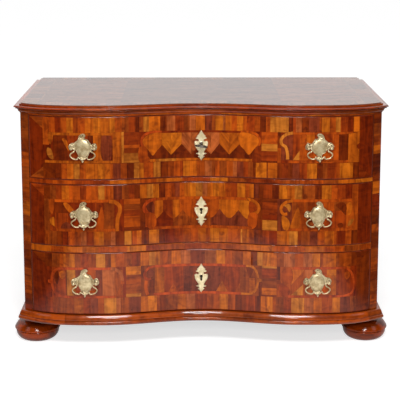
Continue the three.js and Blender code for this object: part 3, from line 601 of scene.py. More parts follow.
z0, z1 = front_heights(1)
drawer_1_tiles = [
    block(-521, 521, z0, z1, "dark_red"),
    *end_panel(-1, z0, z1, "umber", "umber"),
    *end_panel(1, z0, z1, None, "red"),
    block(-521, -500, 700, z1, "mid"),
    *row(742, z1, -500, """
         orange_red -480, dark_red -460, mid -441, bright -420, mid -400, orange_red -380, orange -352,
         bright -330, orange -300, bright -283, mid -259, umber -238, red -216, darkest -204, umber -190,
         tan -172, orange -135, dark -114, pink -86, red -56, umber -40, pink -18, orange 12, plum 35,
         umber 47, bright 72, pink 80, orange 100, orange_red 118, bright 138, mid 150, red 175, mid 193,
         darkest 212, mid 226, tan 286, darkest 300, red 309, pink 329, dark 352, plum 386, mid 394,
         bright 420, mid 440, tan 456, red 480, dark_red 500, orange 521"""),
    *row(z0, 639, -521, """
         dark -480, darkest -460, mid -441, orange -420, tan -400, mid -380, orange -340, bright -318,
         orange -300, mid -290, plum -265, mid -245, darkest -222, tan -205, bright -190,
         orange_red -158, tan -135, dark -110, mid -90, orange_red -70, red -60, bright -38, orange -15,
         mid 12, pink 35, umber 46, orange_red 61, umber 84, mid 105, pink 118, plum 140, red 155,
         umber 170, dark 180, bright 215, umber 220, orange 250, dark 265, red 286, dark 300, plum 322,
         red 348, bright 380, dark 400, umber 415, red 445, mid 456, bright 500, dark 521"""),
    # Left panel
    *row(649, 733, -486, "darkest -440, red -371"),
    leaf("orange", (-456, 722), (-447, 724), (-436, 702), (-434, 680), (-444, 694), (-452, 710)),
    *row(649, 733, -371, "dark -354, orange -323"),
    leaf("plum", (-323, 733), (-298, 732), (-291, 700), (-294, 668), (-300, 650), (-323, 649)),
    block(-500, -259, 733, 742, "orange"),
    leaf("orange", (-501, 742), (-484, 741), (-486, 728), (-489, 714), (-496, 702), (-502, 712)),
    leaf("tan", (-506, 690), (-494, 687), (-488, 670), (-487, 652), (-499, 656), (-508, 671)),
    block(-515, -259, 640, 649, "orange"),
    *row(640, 744, -291, "orange -262, tan -254"),
    *stack(-254, -203, 742, "red 700, mid 688, dark 672, tan 640"),
    # Middle panel
    block(-203, 198, 640, 742, "dark_red"),
    block(-178, 176, 648, 700, "darkest"),
    strap("coral", 9, (-130, 739), (-168, 739), (-189, 729), (-197, 711), (-193, 696), (-184, 688)),
    strap("orange_red", 9, (130, 739), (165, 739), (185, 729), (192, 711), (189, 696), (180, 688)),
    leaf("orange", (-130, 735), (-166, 734), (-186, 724), (-193, 709), (-188, 695), (-174, 679),
         (-160, 661), (-146, 677), (-130, 697)),
    *teeth(661, 697, 735, (-130, -65, -2, 60, 126), (-100, -34, 32, 93),
           ("bright", "pink", "pink", "orange")),
    leaf("orange", (126, 735), (163, 734), (183, 724), (190, 709), (184, 694), (172, 680), (157, 663),
         (142, 679), (126, 698)),
    leaf("orange_red", (-203, 692), (-184, 691), (-178, 680), (-176, 662), (-168, 646), (-182, 638),
         (-203, 640)),
    leaf("red", (198, 692), (181, 691), (175, 680), (173, 662), (165, 646), (179, 638), (198, 640)),
    block(-170, 168, 640, 649, "orange"),
    block(-150, -83, 640, 649, "tan"),
    *stack(198, 250, 742, "orange_red 702, tan 678, red 645, dark 640"),
    # Right panel
    block(250, 262, 690, 742, "dark"),
    block(250, 262, 640, 690, "mid"),
    block(262, 483, 649, 735, "plum"),
    block(300, 322, 649, 735, "red"),
    piece("tan", (300, 650), (322, 650), (322, 682)),
    block(322, 345, 649, 735, "mid"),
    block(345, 372, 700, 735, "orange"),
    block(345, 430, 649, 700, "orange_red"),
    block(372, 430, 700, 735, "red"),
    *row(649, 735, 430, "orange_red 451, darkest 483"),
    block(286, 500, 735, 743, "orange_red"),
    block(286, 500, 640, 649, "orange_red"),
    strap("tan", 10, (300, 741), (276, 734), (262, 718), (264, 703), (276, 694), (282, 676), (284, 652)),
    piece("orange", (483, 736), (521, 742), (521, 704), (512, 697), (512, 690), (521, 682),
          (521, 640), (483, 640)),
]

z0, z1 = front_heights(2)
drawer_2_tiles = [
    block(-521, 521, z0, z1, "dark_red"),
    *end_panel(-1, z0, z1, "red", None),
    *end_panel(1, z0, z1, None, None),
    block(-521, -500, 409, 518, "umber"),
    *row(518, z1, -521, """
         dark -500, umber -480, red -461, orange -436, orange_red -424, mid -400, red -380,
         orange_red -362, mid -340, tan -319, orange_red -300, mid -290, plum -262, umber -240, red -222,
         dark -203, orange -180, tan -160, bright -141, darkest -120, orange_red -100, red -86, plum -72,
         mid -56, orange -40, bright -18, tan 4, pink 20, orange 40, bright 60, orange 80,
         orange_red 100, red 120, bright 146, mid 160, orange 174, plum 190, dark 206, red 235,
         darkest 257, bright 284, orange 308, tan 333, umber 376, dark 398, bright 430, orange_red 450,
         red 478, dark_red 500, mid 521"""),
    *row(z0, 409, -521, """
         mid -507, umber -480, dark -460, dark_red -441, orange_red -420, mid -400, pink -381, red -357,
         orange -340, bright -324, umber -300, pink -285, dark -255, tan -232, dark -229,
         orange_red -214, orange -199, dark -174, bright -141, darkest -122, dark_red -90, red -60,
         mid -36, orange_red -10, orange 15, mid 30, bright 60, orange 90, mid 132, tan 137, orange 158,
         mid 175, plum 190, dark 206, red 226, dark_red 252, orange 292, tan 320, dark 331, umber 360,
         plum 386, mid 409, orange 441, mid 450, dark_red 480, mid 500, dark 521"""),
    # Left panel
    block(-500, -256, 409, 518, "dark_red"),
    piece("darkest", (-486, 508), (-455, 508), (-440, 470), (-486, 470)),
    block(-486, -440, 419, 472, "red"),
    leaf("orange", (-456, 506), (-445, 507), (-424, 486), (-410, 462), (-428, 468), (-450, 490)),
    leaf("plum", (-466, 421), (-432, 421), (-434, 434), (-450, 441)),
    block(-352, -330, 419, 508, "red"),
    piece("orange_red", (-332, 492), (-326, 492), (-318, 419), (-352, 419)),
    block(-322, -288, 419, 508, "umber"),
    block(-486, -296, 508, 518, "orange_red"),
    block(-488, -276, 409, 419, "orange_red"),
    leaf("orange_red", (-502, 517), (-486, 517), (-487, 500), (-489, 480), (-495, 465), (-502, 476)),
    leaf("bright", (-503, 450), (-489, 457), (-486, 440), (-487, 423), (-498, 430)),
    leaf("red", (-500, 431), (-484, 421), (-482, 410), (-502, 412)),
    strap("orange", 13, (-304, 512), (-284, 508), (-270, 494), (-270, 476), (-276, 458), (-279, 432),
          (-280, 410)),
    *stack(-256, -203, 518, "mid 500, umber 480, red 460, mid 422, dark 409"),
    # Middle panel
    block(-203, 203, 409, 518, "dark"),
    block(-186, 186, 419, 512, "red"),
    *row(430, 508, -155, "orange -128, red -95, orange -72, orange_red -16"),
    *row(430, 508, 16, "mid 60, orange 98, orange 128, bright 160"),
    ogee("dark_red", -125, 31, 419, 472, 444),
    ogee("umber", -62, 32, 419, 472, 444),
    ogee("umber", 0, 31, 419, 472, 444),
    ogee("plum", 62, 31, 419, 476, 444),
    ogee("plum", 124, 31, 419, 474, 444),
    leaf("plum", (-178, 500), (-164, 508), (-156, 492), (-158, 470), (-170, 468), (-182, 484)),
    leaf("red", (176, 500), (163, 508), (158, 492), (160, 470), (170, 468), (180, 484)),
    strap("coral", 11, (-150, 513), (-172, 508), (-187, 495), (-190, 480), (-182, 468), (-168, 463)),
    strap("orange", 11, (150, 513), (172, 508), (187, 495), (191, 480), (184, 468), (170, 463)),
    leaf("orange_red", (-186, 464), (-160, 466), (-150, 444), (-152, 422), (-166, 411), (-180, 420),
         (-184, 442)),
    leaf("orange_red", (186, 464), (162, 466), (154, 444), (156, 422), (168, 411), (182, 420), (186, 442)),
    block(-150, 150, 508, 518, "orange_red"),
    block(-168, 168, 409, 419, "orange_red"),
    *stack(203, 252, 518, "dark 505, red 462, dark_red 444, tan 409"),
    # Right panel
    block(252, 500, 409, 518, "plum"),
    block(300, 480, 419, 508, "umber"),
    piece("mid", (318, 508), (345, 508), (352, 419), (322, 419)),
    block(352, 376, 440, 508, "dark"),
    leaf("orange", (294, 419), (322, 419), (328, 452), (320, 492), (310, 472), (300, 446)),
    block(376, 440, 478, 508, "orange_red"),
    block(376, 480, 419, 478, "red"),
    leaf("darkest", (446, 498), (470, 506), (482, 490), (480, 462), (464, 478)),
    leaf("darkest", (452, 432), (466, 436), (472, 424), (458, 420)),
    block(480, 521, 409, 518, "mid"),
    leaf("orange", (484, 500), (494, 506), (501, 490), (497, 466), (487, 460), (483, 480)),
    leaf("tan", (486, 424), (498, 428), (507, 446), (498, 448), (489, 438)),
    block(296, 500, 508, 518, "orange_red"),
    block(280, 500, 409, 419, "orange_red"),
    strap("orange", 10, (304, 513), (282, 508), (268, 496), (264, 480), (272, 467), (285, 468)),
    leaf("tan", (273, 495), (290, 502), (297, 488), (291, 474), (283, 488)),
    leaf("bright", (268, 462), (286, 452), (293, 432), (286, 412), (274, 414), (267, 436)),
]

z0, z1 = front_heights(3)
drawer_3_tiles = [
    block(-521, 521, z0, z1, "dark_red"),
    *end_panel(-1, z0, z1, "dark", None),
    *end_panel(1, z0, z1, "darkest", None, "dark"),
    *row(286, z1, -521, """
         dark -498, umber -473, mid -460, orange -440, bright -421, umber -402, red -376, mid -351,
         tan -320, umber -300, orange -285, mid -256, umber -232, red -216, dark -203, orange -174,
         tan -156, bright -139, umber -130, mid -112, umber -100, orange -68, pink -36, plum 12, pink 50,
         bright 80, mid 104, umber 140, orange 166, dark 187, tan 205, bright 232, orange 252, umber 276,
         pink 312, mid 340, pink 370, bright 396, mid 406, orange 450, umber 460, mid 502, dark 521"""),
    *row(z0, 180, -521, """
         dark -517, red -498, mid -480, umber -441, mid -425, orange -395, red -370, plum -346, mid -325,
         tan -285, pink -270, umber -241, plum -203, orange -179, bright -150, mid -138, dark -120,
         umber -80, orange -50, pink -20, red 20, mid 62, bright 90, mid 115, dark 150, red 182,
         darkest 200, orange 222, bright 240, mid 250, umber 276, red 302, tan 345, pink 376, orange 404,
         orange_red 430, mid 440, bright 466, plum 500, umber 521"""),
    # Left panel
    block(-500, -262, 180, 286, "red"),
    leaf("dark", (-490, 262), (-480, 272), (-476, 250), (-482, 226), (-490, 240)),
    leaf("orange", (-474, 268), (-456, 274), (-452, 258), (-462, 244), (-472, 250)),
    *row(188, 277, -453, "dark -449, tan -420"),
    block(-420, -400, 236, 277, "plum"),
    *row(188, 277, -400, "mid -352, plum -330, pink -290, umber -262"),
    strap("coral", 9, (-448, 281), (-476, 280), (-493, 270), (-499, 254), (-500, 236), (-497, 214),
          (-488, 196), (-470, 185), (-448, 184)),
    piece("coral", (-498, 244), (-514, 239), (-514, 230), (-498, 226)),
    block(-450, -300, 277, 286, "coral"),
    block(-450, -290, 179, 188, "coral"),
    strap("pink", 11, (-302, 282), (-282, 276), (-269, 262), (-265, 245), (-266, 230)),
    strap("mid", 12, (-266, 230), (-270, 208), (-280, 184)),
    piece("orange_red", (-270, 240), (-256, 236), (-256, 228), (-270, 226)),
    *stack(-252, -202, 286, "bright 257, mid 226, umber 192, tan 180"),
    # Middle panel
    block(-202, 203, 180, 286, "umber"),
    leaf("plum", (-181, 262), (-168, 273), (-159, 260), (-164, 246), (-178, 244)),
    block(-174, -158, 189, 238, "dark"),
    strap("coral", 8, (-152, 283), (-174, 278), (-188, 264), (-190, 248), (-180, 238), (-168, 240)),
    strap("orange_red", 12, (-184, 234), (-186, 206), (-180, 184)),
    *row(189, 277, -156, "orange -124, red -60, plum 64, red 130"),
    piece("orange", (50, 189), (90, 189), (70, 228)),
    piece("mid", (-112, 189), (-76, 189), (-94, 222)),
    piece("mid", (112, 189), (130, 189), (130, 222)),
    block(130, 162, 189, 277, "umber"),
    piece("dark", (150, 277), (176, 272), (164, 238)),
    block(162, 180, 189, 242, "orange"),
    block(-156, 150, 277, 286, "coral"),
    block(-160, 150, 180, 189, "coral"),
    strap("bright", 8, (150, 283), (170, 281), (182, 270), (188, 254), (190, 236), (187, 214),
          (181, 198), (168, 187), (134, 185)),
    piece("bright", (188, 244), (204, 239), (204, 231), (188, 227)),
    block(193, 203, 180, 228, "dark"),
    *stack(203, 252, 286, "tan 278, red 244, umber 210, orange 186, dark 180"),
    # Right panel
    block(252, 500, 180, 286, "mid"),
    block(252, 263, 240, 286, "darkest"),
    piece("orange", (300, 277), (346, 277), (300, 222)),
    piece("tan", (300, 188), (340, 188), (340, 226)),
    *row(188, 277, 346, "pink 372, orange_red 420"),
    block(420, 451, 256, 277, "bright"),
    block(420, 451, 188, 256, "orange"),
    block(451, 500, 188, 277, "red"),
    leaf("mid", (478, 262), (494, 268), (498, 250), (486, 240)),
    leaf("orange_red", (298, 282), (274, 273), (264, 254), (270, 238), (286, 228), (302, 234), (306, 262)),
    leaf("red", (262, 228), (282, 222), (296, 206), (290, 184), (270, 184), (260, 206)),
    piece("mid", (264, 240), (252, 235), (254, 227), (266, 226)),
    block(306, 450, 277, 286, "coral"),
    block(290, 450, 179, 188, "coral"),
    strap("coral", 8, (448, 281), (486, 279), (502, 264), (511, 238), (514, 212), (505, 193),
          (482, 184), (448, 183)),
]


# The veneered fronts of drawers, stiles and rails

LIFT = 0.0003
HOLLOW_LIFT = 0.0007
CUT_STEP = 0.009
CUT_OVERLAP = 0.001
DRAWER_ARRIS = 0.0032
SHEET_GAP = 0.0004
ESCUTCHEON_ABOVE = 44
KEYHOLE_HALF_SLOT = 2.6
KEYHOLE_RADIUS = 4.6
KEYHOLE_DROP = 15
VENEER_CLEARANCE = 0.4


def proud(x):
    """How far the veneer stands off the true curve, so that it covers the model's flat facets."""
    return LIFT + HOLLOW_LIFT * max(0.0, math.cos(math.pi * x / BULGE_X)) if abs(x) < BULGE_X else LIFT


def on_front(x, z, depth):
    return Vector((x, front_y(x) - proud(x) + depth, z))


def keyhole(grow=0.0):
    """A round hole over a slot, in millimetres, round the centre of the round hole."""
    half_slot, radius, foot = KEYHOLE_HALF_SLOT + grow, KEYHOLE_RADIUS + grow, -KEYHOLE_DROP - grow
    start = -1 + math.asin(half_slot / radius) / (math.pi / 2)
    return [(half_slot, foot)] + arc(0, 0, radius, radius, start, 2 - start, 20) + [(-half_slot, foot)]


def keyhole_height(number):
    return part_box(f"escutcheon_{number}")[1].z - ESCUTCHEON_ABOVE * MM


def front_sheet(name, body, x0, x1, z0, z1, tiles, rounding=THIN_ARRIS, holes=()):
    inset = rounding - EDGE_LIFT
    left, right, low, high = x0 + inset, x1 - inset, z0 + inset, z1 - inset
    outline = [(left, low), (right, low), (right, high), (left, high)]
    ends = stretches(x0, x1, math.ceil((x1 - x0) / CUT_STEP))
    cuts = [((x, z0 - CUT_OVERLAP), (x, z1 + CUT_OVERLAP)) for x, _ in ends[1:]]
    veneer_sheet(name, body, outline, tiles, on_front, Vector((0, -1, 0)), cuts, rounding, holes)


for number, tiles in zip(DRAWERS, (drawer_1_tiles, drawer_2_tiles, drawer_3_tiles)):
    low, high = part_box(f"drawer_{number}_front")
    around = keyhole(DRAWER_ARRIS / MM + VENEER_CLEARANCE)
    hole = [(x * MM, z * MM + keyhole_height(number)) for x, z in around]
    name = f"drawer_{number}_parquetry"
    front_sheet(name, f"drawer_{number}", low.x, high.x, low.z, high.z, tiles, DRAWER_ARRIS, [hole])

# Stiles: short blocks with level grain, from the top down

STILE_TOP = 810
STILE_BLOCKS = {
    "left": """umber 713, dark 668, mid 620, umber 560, mid 500, orange 452, umber 392, mid 335, dark 270,
            umber 225, mid 180, dark 142, dark_red 100""",
    "right": """dark 764, umber 720, mid 690, orange 661, darkest 600, dark 567, orange 525, dark_red 470,
            dark 420, mid 391, dark 336, umber 296, mid 255, dark 225, umber 180, mid 140, umber 100""",
}
for side, hand in SIDES.items():
    low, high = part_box(f"stile_{side}")
    x0, x1 = sorted((hand * INNER_X, hand * HALF_BODY))
    tiles = stack(x0 / MM, x1 / MM, STILE_TOP, STILE_BLOCKS[side])
    front_sheet(f"stile_{side}_veneer", "carcass", x0, x1, low.z, high.z - SHEET_GAP, tiles)

# Rails: upright blocks

RAIL_TONES = ("orange_red", "mid", "orange", "bright", "umber", "orange_red", "orange", "red")
SHORTEST_RAIL_BLOCK = 40
LONGEST_RAIL_BLOCK = 120

for name in ("top_rail", "rail_1", "rail_2"):
    low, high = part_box(name)
    end = high.x / MM
    tiles, start, tone = [], -end, None
    while start < end:
        stop = min(end, start + chance.uniform(SHORTEST_RAIL_BLOCK, LONGEST_RAIL_BLOCK))
        tone = chance.choice([t for t in RAIL_TONES if t != tone])
        tiles.append(block(start, stop, low.z / MM, high.z / MM, tone))
        start = stop
    front_sheet(f"{name}_veneer", "carcass", low.x, high.x, low.z, high.z, tiles)

# Sides: a cross-banded frame round a panel of matched sheets, with a diamond in its middle

STRINGING = 6
BAND = 52
BAND_BLOCK = 95
FEWEST_BAND_BLOCKS = 4
BAND_TONES = ("mid", "umber", "orange_red", "red", "mid", "dark", "orange")
FIELD_TONES = ("mid", "orange_red", "mid")
DIAMONDS = (("tan", 108, 128, 90), ("umber", 101, 120, 45), ("orange", 52, 62, 135))
SIDE_ARRIS = 0.0004


def band_stretches(start, end):
    return stretches(start, end, max(FEWEST_BAND_BLOCKS, round((end - start) / BAND_BLOCK)))


def framed_panel(a0, a1, b0, b1):
    """A border of blocks, a light string inside it, and a field of sheets side by side, in millimetres."""
    tiles = [block(a0, a1, b0, b1, "dark_red")]
    for low, high in ((b0, b0 + BAND), (b1 - BAND, b1)):
        for i, (start, end) in enumerate(band_stretches(a0, a1)):
            tiles.append(block(start, end, low, high, BAND_TONES[(i * 3) % len(BAND_TONES)]))
    for low, high in ((a0, a0 + BAND), (a1 - BAND, a1)):
        for i, (start, end) in enumerate(band_stretches(b0 + BAND, b1 - BAND)):
            tiles.append(block(low, high, start, end, BAND_TONES[(i * 2 + 1) % len(BAND_TONES)], 0))
    tiles.append(block(a0 + BAND, a1 - BAND, b0 + BAND, b1 - BAND, "tan"))
    edge = BAND + STRINGING
    for (start, end), tone in zip(stretches(a0 + edge, a1 - edge, len(FIELD_TONES)), FIELD_TONES):
        tiles.append(block(start, end, b0 + edge, b1 - edge, tone))
    return tiles


for side, hand in SIDES.items():
    low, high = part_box(f"side_{side}")
    y0, y1, z0, z1 = CORNER_Y + SHEET_GAP, BACK_Y, low.z, high.z - SHEET_GAP
    tiles = framed_panel(y0 / MM, y1 / MM, z0 / MM, high.z / MM)
    cy, cz = (y0 + y1) / 2 / MM, (z0 + high.z) / 2 / MM
    for tone, wide, tall, angle in DIAMONDS:
        corners = ((cy, cz - tall), (cy + wide, cz), (cy, cz + tall), (cy - wide, cz))
        tiles.append(piece(tone, *corners, angle=angle))

    def on_side(y, z, depth, hand=hand):
        return Vector((hand * (HALF_BODY + LIFT - depth), y, z))

    outline = [(y0, z0), (y1, z0), (y1, z1), (y0, z1)]
    facing = Vector((hand, 0, 0))
    veneer_sheet(f"side_{side}_veneer", "carcass", outline, tiles, on_side, facing, (), SIDE_ARRIS)


# Top: a border of blocks, a string, and a field of four matched sheets, inside the edge moulding

TOP_TONES = ("top_mid", "top_dark", "top_light")
TOP_EDGE_INSET = 0.0034
TOP_BORDER = 58
TOP_ARRIS = 0.0012
QUARTER_TONES = ("top_mid", "top_dark", "top_dark", "top_mid")
QUARTER_ANGLE = 8
FRONT_BLOCKS = 14
FRONT_BLOCKS_END = -340
SIDE_BLOCKS = 6
SIDE_BLOCKS_START = -262
SIDE_BLOCKS_END = 338
LINE_STEP = 0.006


def offset_line(offset):
    """The line round the carcass's sides and front, moved outwards by an offset, mitred at the corners."""
    count = 2 * math.ceil(HALF_BODY / LINE_STEP)
    xs = [-HALF_BODY + 2 * HALF_BODY * i / count for i in range(count + 1)]
    line = [(-HALF_BODY, BACK_Y)] + [(x, front_y(x)) for x in xs] + [(HALF_BODY, BACK_Y)]
    normals = []
    for (x0, y0), (x1, y1) in zip(line, line[1:]):
        length = math.hypot(x1 - x0, y1 - y0)
        normals.append(((y1 - y0) / length, -(x1 - x0) / length))
    moved = []
    for i, (x, y) in enumerate(line):
        a, b = normals[max(0, i - 1)], normals[min(len(normals) - 1, i)]
        spread = 1 + a[0] * b[0] + a[1] * b[1]
        moved.append((x + (a[0] + b[0]) / spread * offset, y + (a[1] + b[1]) / spread * offset))
    return moved


def field_ring(inset, back):
    """The top's field in millimetres: the serpentine line moved inwards by an inset, closed at the back."""
    line = [(x / MM, y / MM) for x, y in offset_line(-inset * MM) if y < BACK_Y - MM]
    return [(line[0][0], back)] + line + [(line[-1][0], back)]


def on_top(x, y, depth):
    return Vector((x, y, TOP_Z + LIFT - depth))


def make_top():
    half, back = HALF_BODY / MM, BACK_Y / MM
    tiles = []
    for i, (x0, x1) in enumerate(stretches(-half, half, FRONT_BLOCKS)):
        tiles.append(block(x0, x1, FRONT_BLOCKS_END, back, TOP_TONES[(i * 2) % 3]))
    for hand in (-1, 1):
        near, far = sorted((hand * half, hand * (half - TOP_BORDER)))
        for i, (y0, y1) in enumerate(stretches(SIDE_BLOCKS_START, SIDE_BLOCKS_END, SIDE_BLOCKS)):
            tiles.append(block(near, far, y0, y1, TOP_TONES[(i * 2 + hand) % 3], 0))
    tiles.append((in_metres(field_ring(TOP_BORDER, back - BAND)), "top_light", 90))
    field_back = back - BAND - STRINGING
    field = field_ring(TOP_BORDER + STRINGING, field_back)
    tiles.append((in_metres(field), "top_mid", 0))
    xs, ys = zip(*field[1:-1])
    for i, (x0, x1) in enumerate(stretches(field[0][0], field[-1][0], len(QUARTER_TONES))):
        front = [(x, y) for x, y in field[1:-1] if x0 < x < x1]
        y0, y1 = np.interp([x0, x1], xs, ys)
        points = [(x0, y0)] + front + [(x1, y1), (x1, field_back), (x0, field_back)]
        tiles.append((in_metres(points), QUARTER_TONES[i], QUARTER_ANGLE if i % 2 else -QUARTER_ANGLE))
    outline = offset_line(-TOP_EDGE_INSET)
    veneer_sheet("top_veneer", "carcass", outline, tiles, on_top, Vector((0, 0, 1)), (), TOP_ARRIS)


make_top()


# Mouldings

GLUE_GAP = 0.3
MOULDING_TONES = ("mid", "red", "orange_red", "umber", "mid")
SHORTEST_LENGTH = 0.2
LONGEST_LENGTH = 0.5


def running_lengths(points):
    """How far along a line each of its points lies."""
    reach = [0.0]
    for a, b in zip(points, points[1:]):
        reach.append(reach[-1] + math.hypot(b[0] - a[0], b[1] - a[1]))
    return reach


def moulding(name, node, profile):
    """A profile of (offset, height) in metres, carried round the front and the sides in several lengths."""
    lines = [offset_line(offset) for offset, _ in profile]
    count, length = len(profile), len(lines[0])
    made = bmesh.new()
    tone_layer = made.loops.layers.float_color.new("tone")
    grain_layer = made.loops.layers.float_vector.new("grain")
    verts = [[made.verts.new((x, y, height)) for x, y in line] for line, (_, height) in zip(lines, profile)]
    path = running_lengths(lines[0])
    rise = running_lengths(profile + profile[:1])
    pieces, reach = [], 0.0
    while reach < path[-1]:
        reach += chance.uniform(SHORTEST_LENGTH, LONGEST_LENGTH)
        pieces.append((reach, chance.choice(MOULDING_TONES), chance.uniform(0, 1), chance.uniform(-0.1, 0.1)))
    for i in range(1, length):
        middle = (path[i - 1] + path[i]) / 2
        _, tone, seed, lift = next(p for p in pieces if p[0] >= middle)
        colour = tuple(c * (1 + lift) for c in TONES[tone][:3]) + (1.0,)
        for j in range(count):
            k = (j + 1) % count
            face = made.faces.new((verts[j][i - 1], verts[j][i], verts[k][i], verts[k][i - 1]))
            for loop, (up, step) in zip(face.loops, ((j, i - 1), (j, i), (j + 1, i), (j + 1, i - 1))):
                loop[tone_layer] = colour
                loop[grain_layer] = (path[step] + seed, rise[up], seed)
    for end in (0, length - 1):
        face = made.faces.new([verts[j][end] for j in range(count)])
        for loop in face.loops:
            loop[tone_layer] = TONES["umber"]
            loop[grain_layer] = (loop.vert.co.x, loop.vert.co.z, 0.3)
    bmesh.ops.recalc_face_normals(made, faces=made.faces[:])
    to_object(name, made, moulded_wood, "carcass", (node,))


def top_edge_profile(low, high):
    """Half-round nose between a fine bead and an upright fillet that carries the edge of the top."""
    bead_top, fillet_foot, fillet = low + 3.2, high - 5.2, 3
    half = (fillet_foot - bead_top) / 2
    bead = arc(8.5, low + 1.6, 7.5, 1.6, -1, 0.8, 6)
    nose = arc(8, bead_top + half, 13, half, -1, 0.1, 12)
    shoulder = [(20.7, 1.2), (20.62, 1.24), (19.38, 1.82), (19.3, 1.86), (18, 1.96), (15, 2)]
    nose += [(offset, bead_top + share * half) for offset, share in shoulder]
    edge = [(fillet, fillet_foot - 0.3), (fillet, high - 0.4), (fillet - 0.4, high)]
    return [(-2.7, low)] + bead + nose + edge + [(-2.7, high)]


def cornice_profile(low, high):
    """Small ovolo under the top, between two fillets."""
    fillet, step, reach = (high - low) / 5, 2.2, 9
    curve = arc(GLUE_GAP + step, high - fillet, reach - 2 * step, high - low - 2 * fillet, -1, 0, 10)
    start = [(GLUE_GAP, low), (GLUE_GAP + step, low)]
    return start + curve + [(reach, high - fillet), (reach, high), (GLUE_GAP, high)]


def base_profile(low, high):
    """Bold thumb moulding over a groove and a half-round bead."""
    bead = arc(15.4, low + 7.3, 6.6, 7.3, -1, 0.92, 14)
    groove = [(13.2, low + 15), (13.2, low + 17.2), (16.8, low + 17.8)]
    thumb = arc(-4.7, high - 15.8, 22, 22, 0, 0.32, 10)
    slope = [(14.1, high - 4.6), (13.2, high - 3.1), (12.3, high - 1.6), (11.7, high - 0.7), (10.8, high)]
    return [(GLUE_GAP, low)] + bead + groove + thumb + slope + [(GLUE_GAP, high)]


PROFILES = {"top_edge": top_edge_profile, "cornice": cornice_profile, "base": base_profile}
for kind, profile_of in PROFILES.items():
    low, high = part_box(f"{kind}_moulding")
    moulding(f"{kind}_moulded", f"{kind}_moulding", in_metres(profile_of(low.z / MM, high.z / MM)))


# Turned pieces

def lathe(profile, count, centre, axis=Vector((0, 0, 1)), into=None):
    """A turned body: profile is (radius, height) along the axis in millimetres, closed on the axis."""
    made = into or bmesh.new()
    turn = Vector((0, 0, 1)).rotation_difference(axis).to_matrix()
    rings = []
    for radius, height in in_metres(profile):
        spots = [(radius * c, radius * s, height) for c, s in round_steps(count if radius else 1)]
        rings.append([made.verts.new(centre + turn @ Vector(spot)) for spot in spots])
    skin(made, rings)
    return made


FOOT_FACETS = 96
FOOT_SHARP = math.radians(30)


def foot_profile(top):
    """Bun foot: a round lower body, an undercut lip, a cushion with a straight shoulder, and a neck."""
    body = [(0, 0)] + arc(44, 32, 29.6, 32, -1, 0, 22)
    lip = [(73, 35), (71.4, 37), (75.4, 37.6), (77.6, 38.8), (77.9, 40.6), (77.6, 42.4)]
    shoulder = [(76.9, 44), (74.7, 47.5), (72.5, 51), (70.3, 54.5), (69, 56.4)]
    cushion = catmull([(67.5, 58.2), (63.6, 62), (57, 65.8), (49.5, 67.6)], 4)
    return body + lip + shoulder + cushion + [(47, 70), (46, 74), (46, top - GLUE_GAP), (0, top - GLUE_GAP)]


for name in ("foot_front_left", "foot_front_right", "foot_back_left", "foot_back_right"):
    low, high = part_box(name)
    middle = Vector(((low.x + high.x) / 2, (low.y + high.y) / 2, 0))
    made = lathe(foot_profile(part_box("base_moulding")[0].z / MM), FOOT_FACETS, middle)
    bmesh.ops.recalc_face_normals(made, faces=made.faces[:])
    to_object(f"{name}_turned", made, foot_wood, "carcass", (name,), FOOT_SHARP)


# Brass

def distance_to(points, outline):
    """The distance of each point from a closed line."""
    p = np.array(points)
    best = np.full(len(p), 1e9)
    line = np.array(outline)
    for a, b in zip(line, np.roll(line, -1, axis=0)):
        d = b - a
        t = np.clip(((p - a) @ d) / max(1e-12, d @ d), 0, 1)
        best = np.minimum(best, np.hypot(*(p - (a + t[:, None] * d)).T))
    return best


GRID_ROW = 0.87
GRID_MARGIN = 0.45


def relief(outline, holes, height, spacing, back=0.0):
    """A chased plate as a closed bmesh, in its own frame: x to the right, z up, its face towards -Y.

    height(x, z, edge) gives how far the face stands out, where edge is the distance from the outline.
    """
    low, high = np.min(outline, axis=0), np.max(outline, axis=0)
    grid = []
    for j in range(int((high[1] - low[1]) / (spacing * GRID_ROW))):
        z = low[1] + (j + 0.5) * spacing * GRID_ROW
        for i in range(int((high[0] - low[0]) / spacing) + 1):
            grid.append((low[0] + (i + (0.5 if j % 2 else 0)) * spacing, z))
    xs, zs = np.array(grid).T
    margin = spacing * GRID_MARGIN
    keep = inside(outline, xs, zs) & (distance_to(grid, outline) > margin)
    for hole in holes:
        keep &= ~inside(hole, xs, zs) & (distance_to(grid, hole) > margin)
    loose = [spot for spot, kept in zip(grid, keep) if kept]
    corners, triangles = triangulate([outline, *holes], (), loose)
    places = np.array(corners)
    edge = distance_to(places, outline)
    for hole in holes:
        edge = np.minimum(edge, distance_to(places, hole))
    made = bmesh.new()
    front = [made.verts.new((x, -height(x, z, e), z)) for (x, z), e in zip(corners, edge)]
    rear = [made.verts.new((x, back, z)) for x, z in corners]
    centres = places[np.array(triangles)].mean(axis=1)
    keep = inside(outline, centres[:, 0], centres[:, 1])
    for hole in holes:
        keep &= ~inside(hole, centres[:, 0], centres[:, 1])
    for (a, b, c), kept in zip(triangles, keep):
        if kept:
            made.faces.new((front[a], front[b], front[c]))
            made.faces.new((rear[c], rear[b], rear[a]))
    behind = dict(zip(front, rear))
    for rim_edge in [e for e in made.edges if len(e.link_faces) == 1 and e.verts[0] in behind]:
        a, b = rim_edge.verts
        made.faces.new((a, b, behind[b], behind[a]))
    bmesh.ops.delete(made, geom=[v for v in made.verts if not v.link_faces], context="VERTS")
    bmesh.ops.recalc_face_normals(made, faces=made.faces[:])
    return made


def bell(value, middle, width):
    return math.exp(-(((value - middle) / width) ** 2))


def rounded_rim(edge, thick, rise, width):
    """Rises in a quarter round from a thin edge."""
    return thick + rise * min(1.0, math.sqrt(max(0.0, edge) / width))


# Back plates: shares of half the width and height. A scroll is (x share, z share, millimetres, way round).

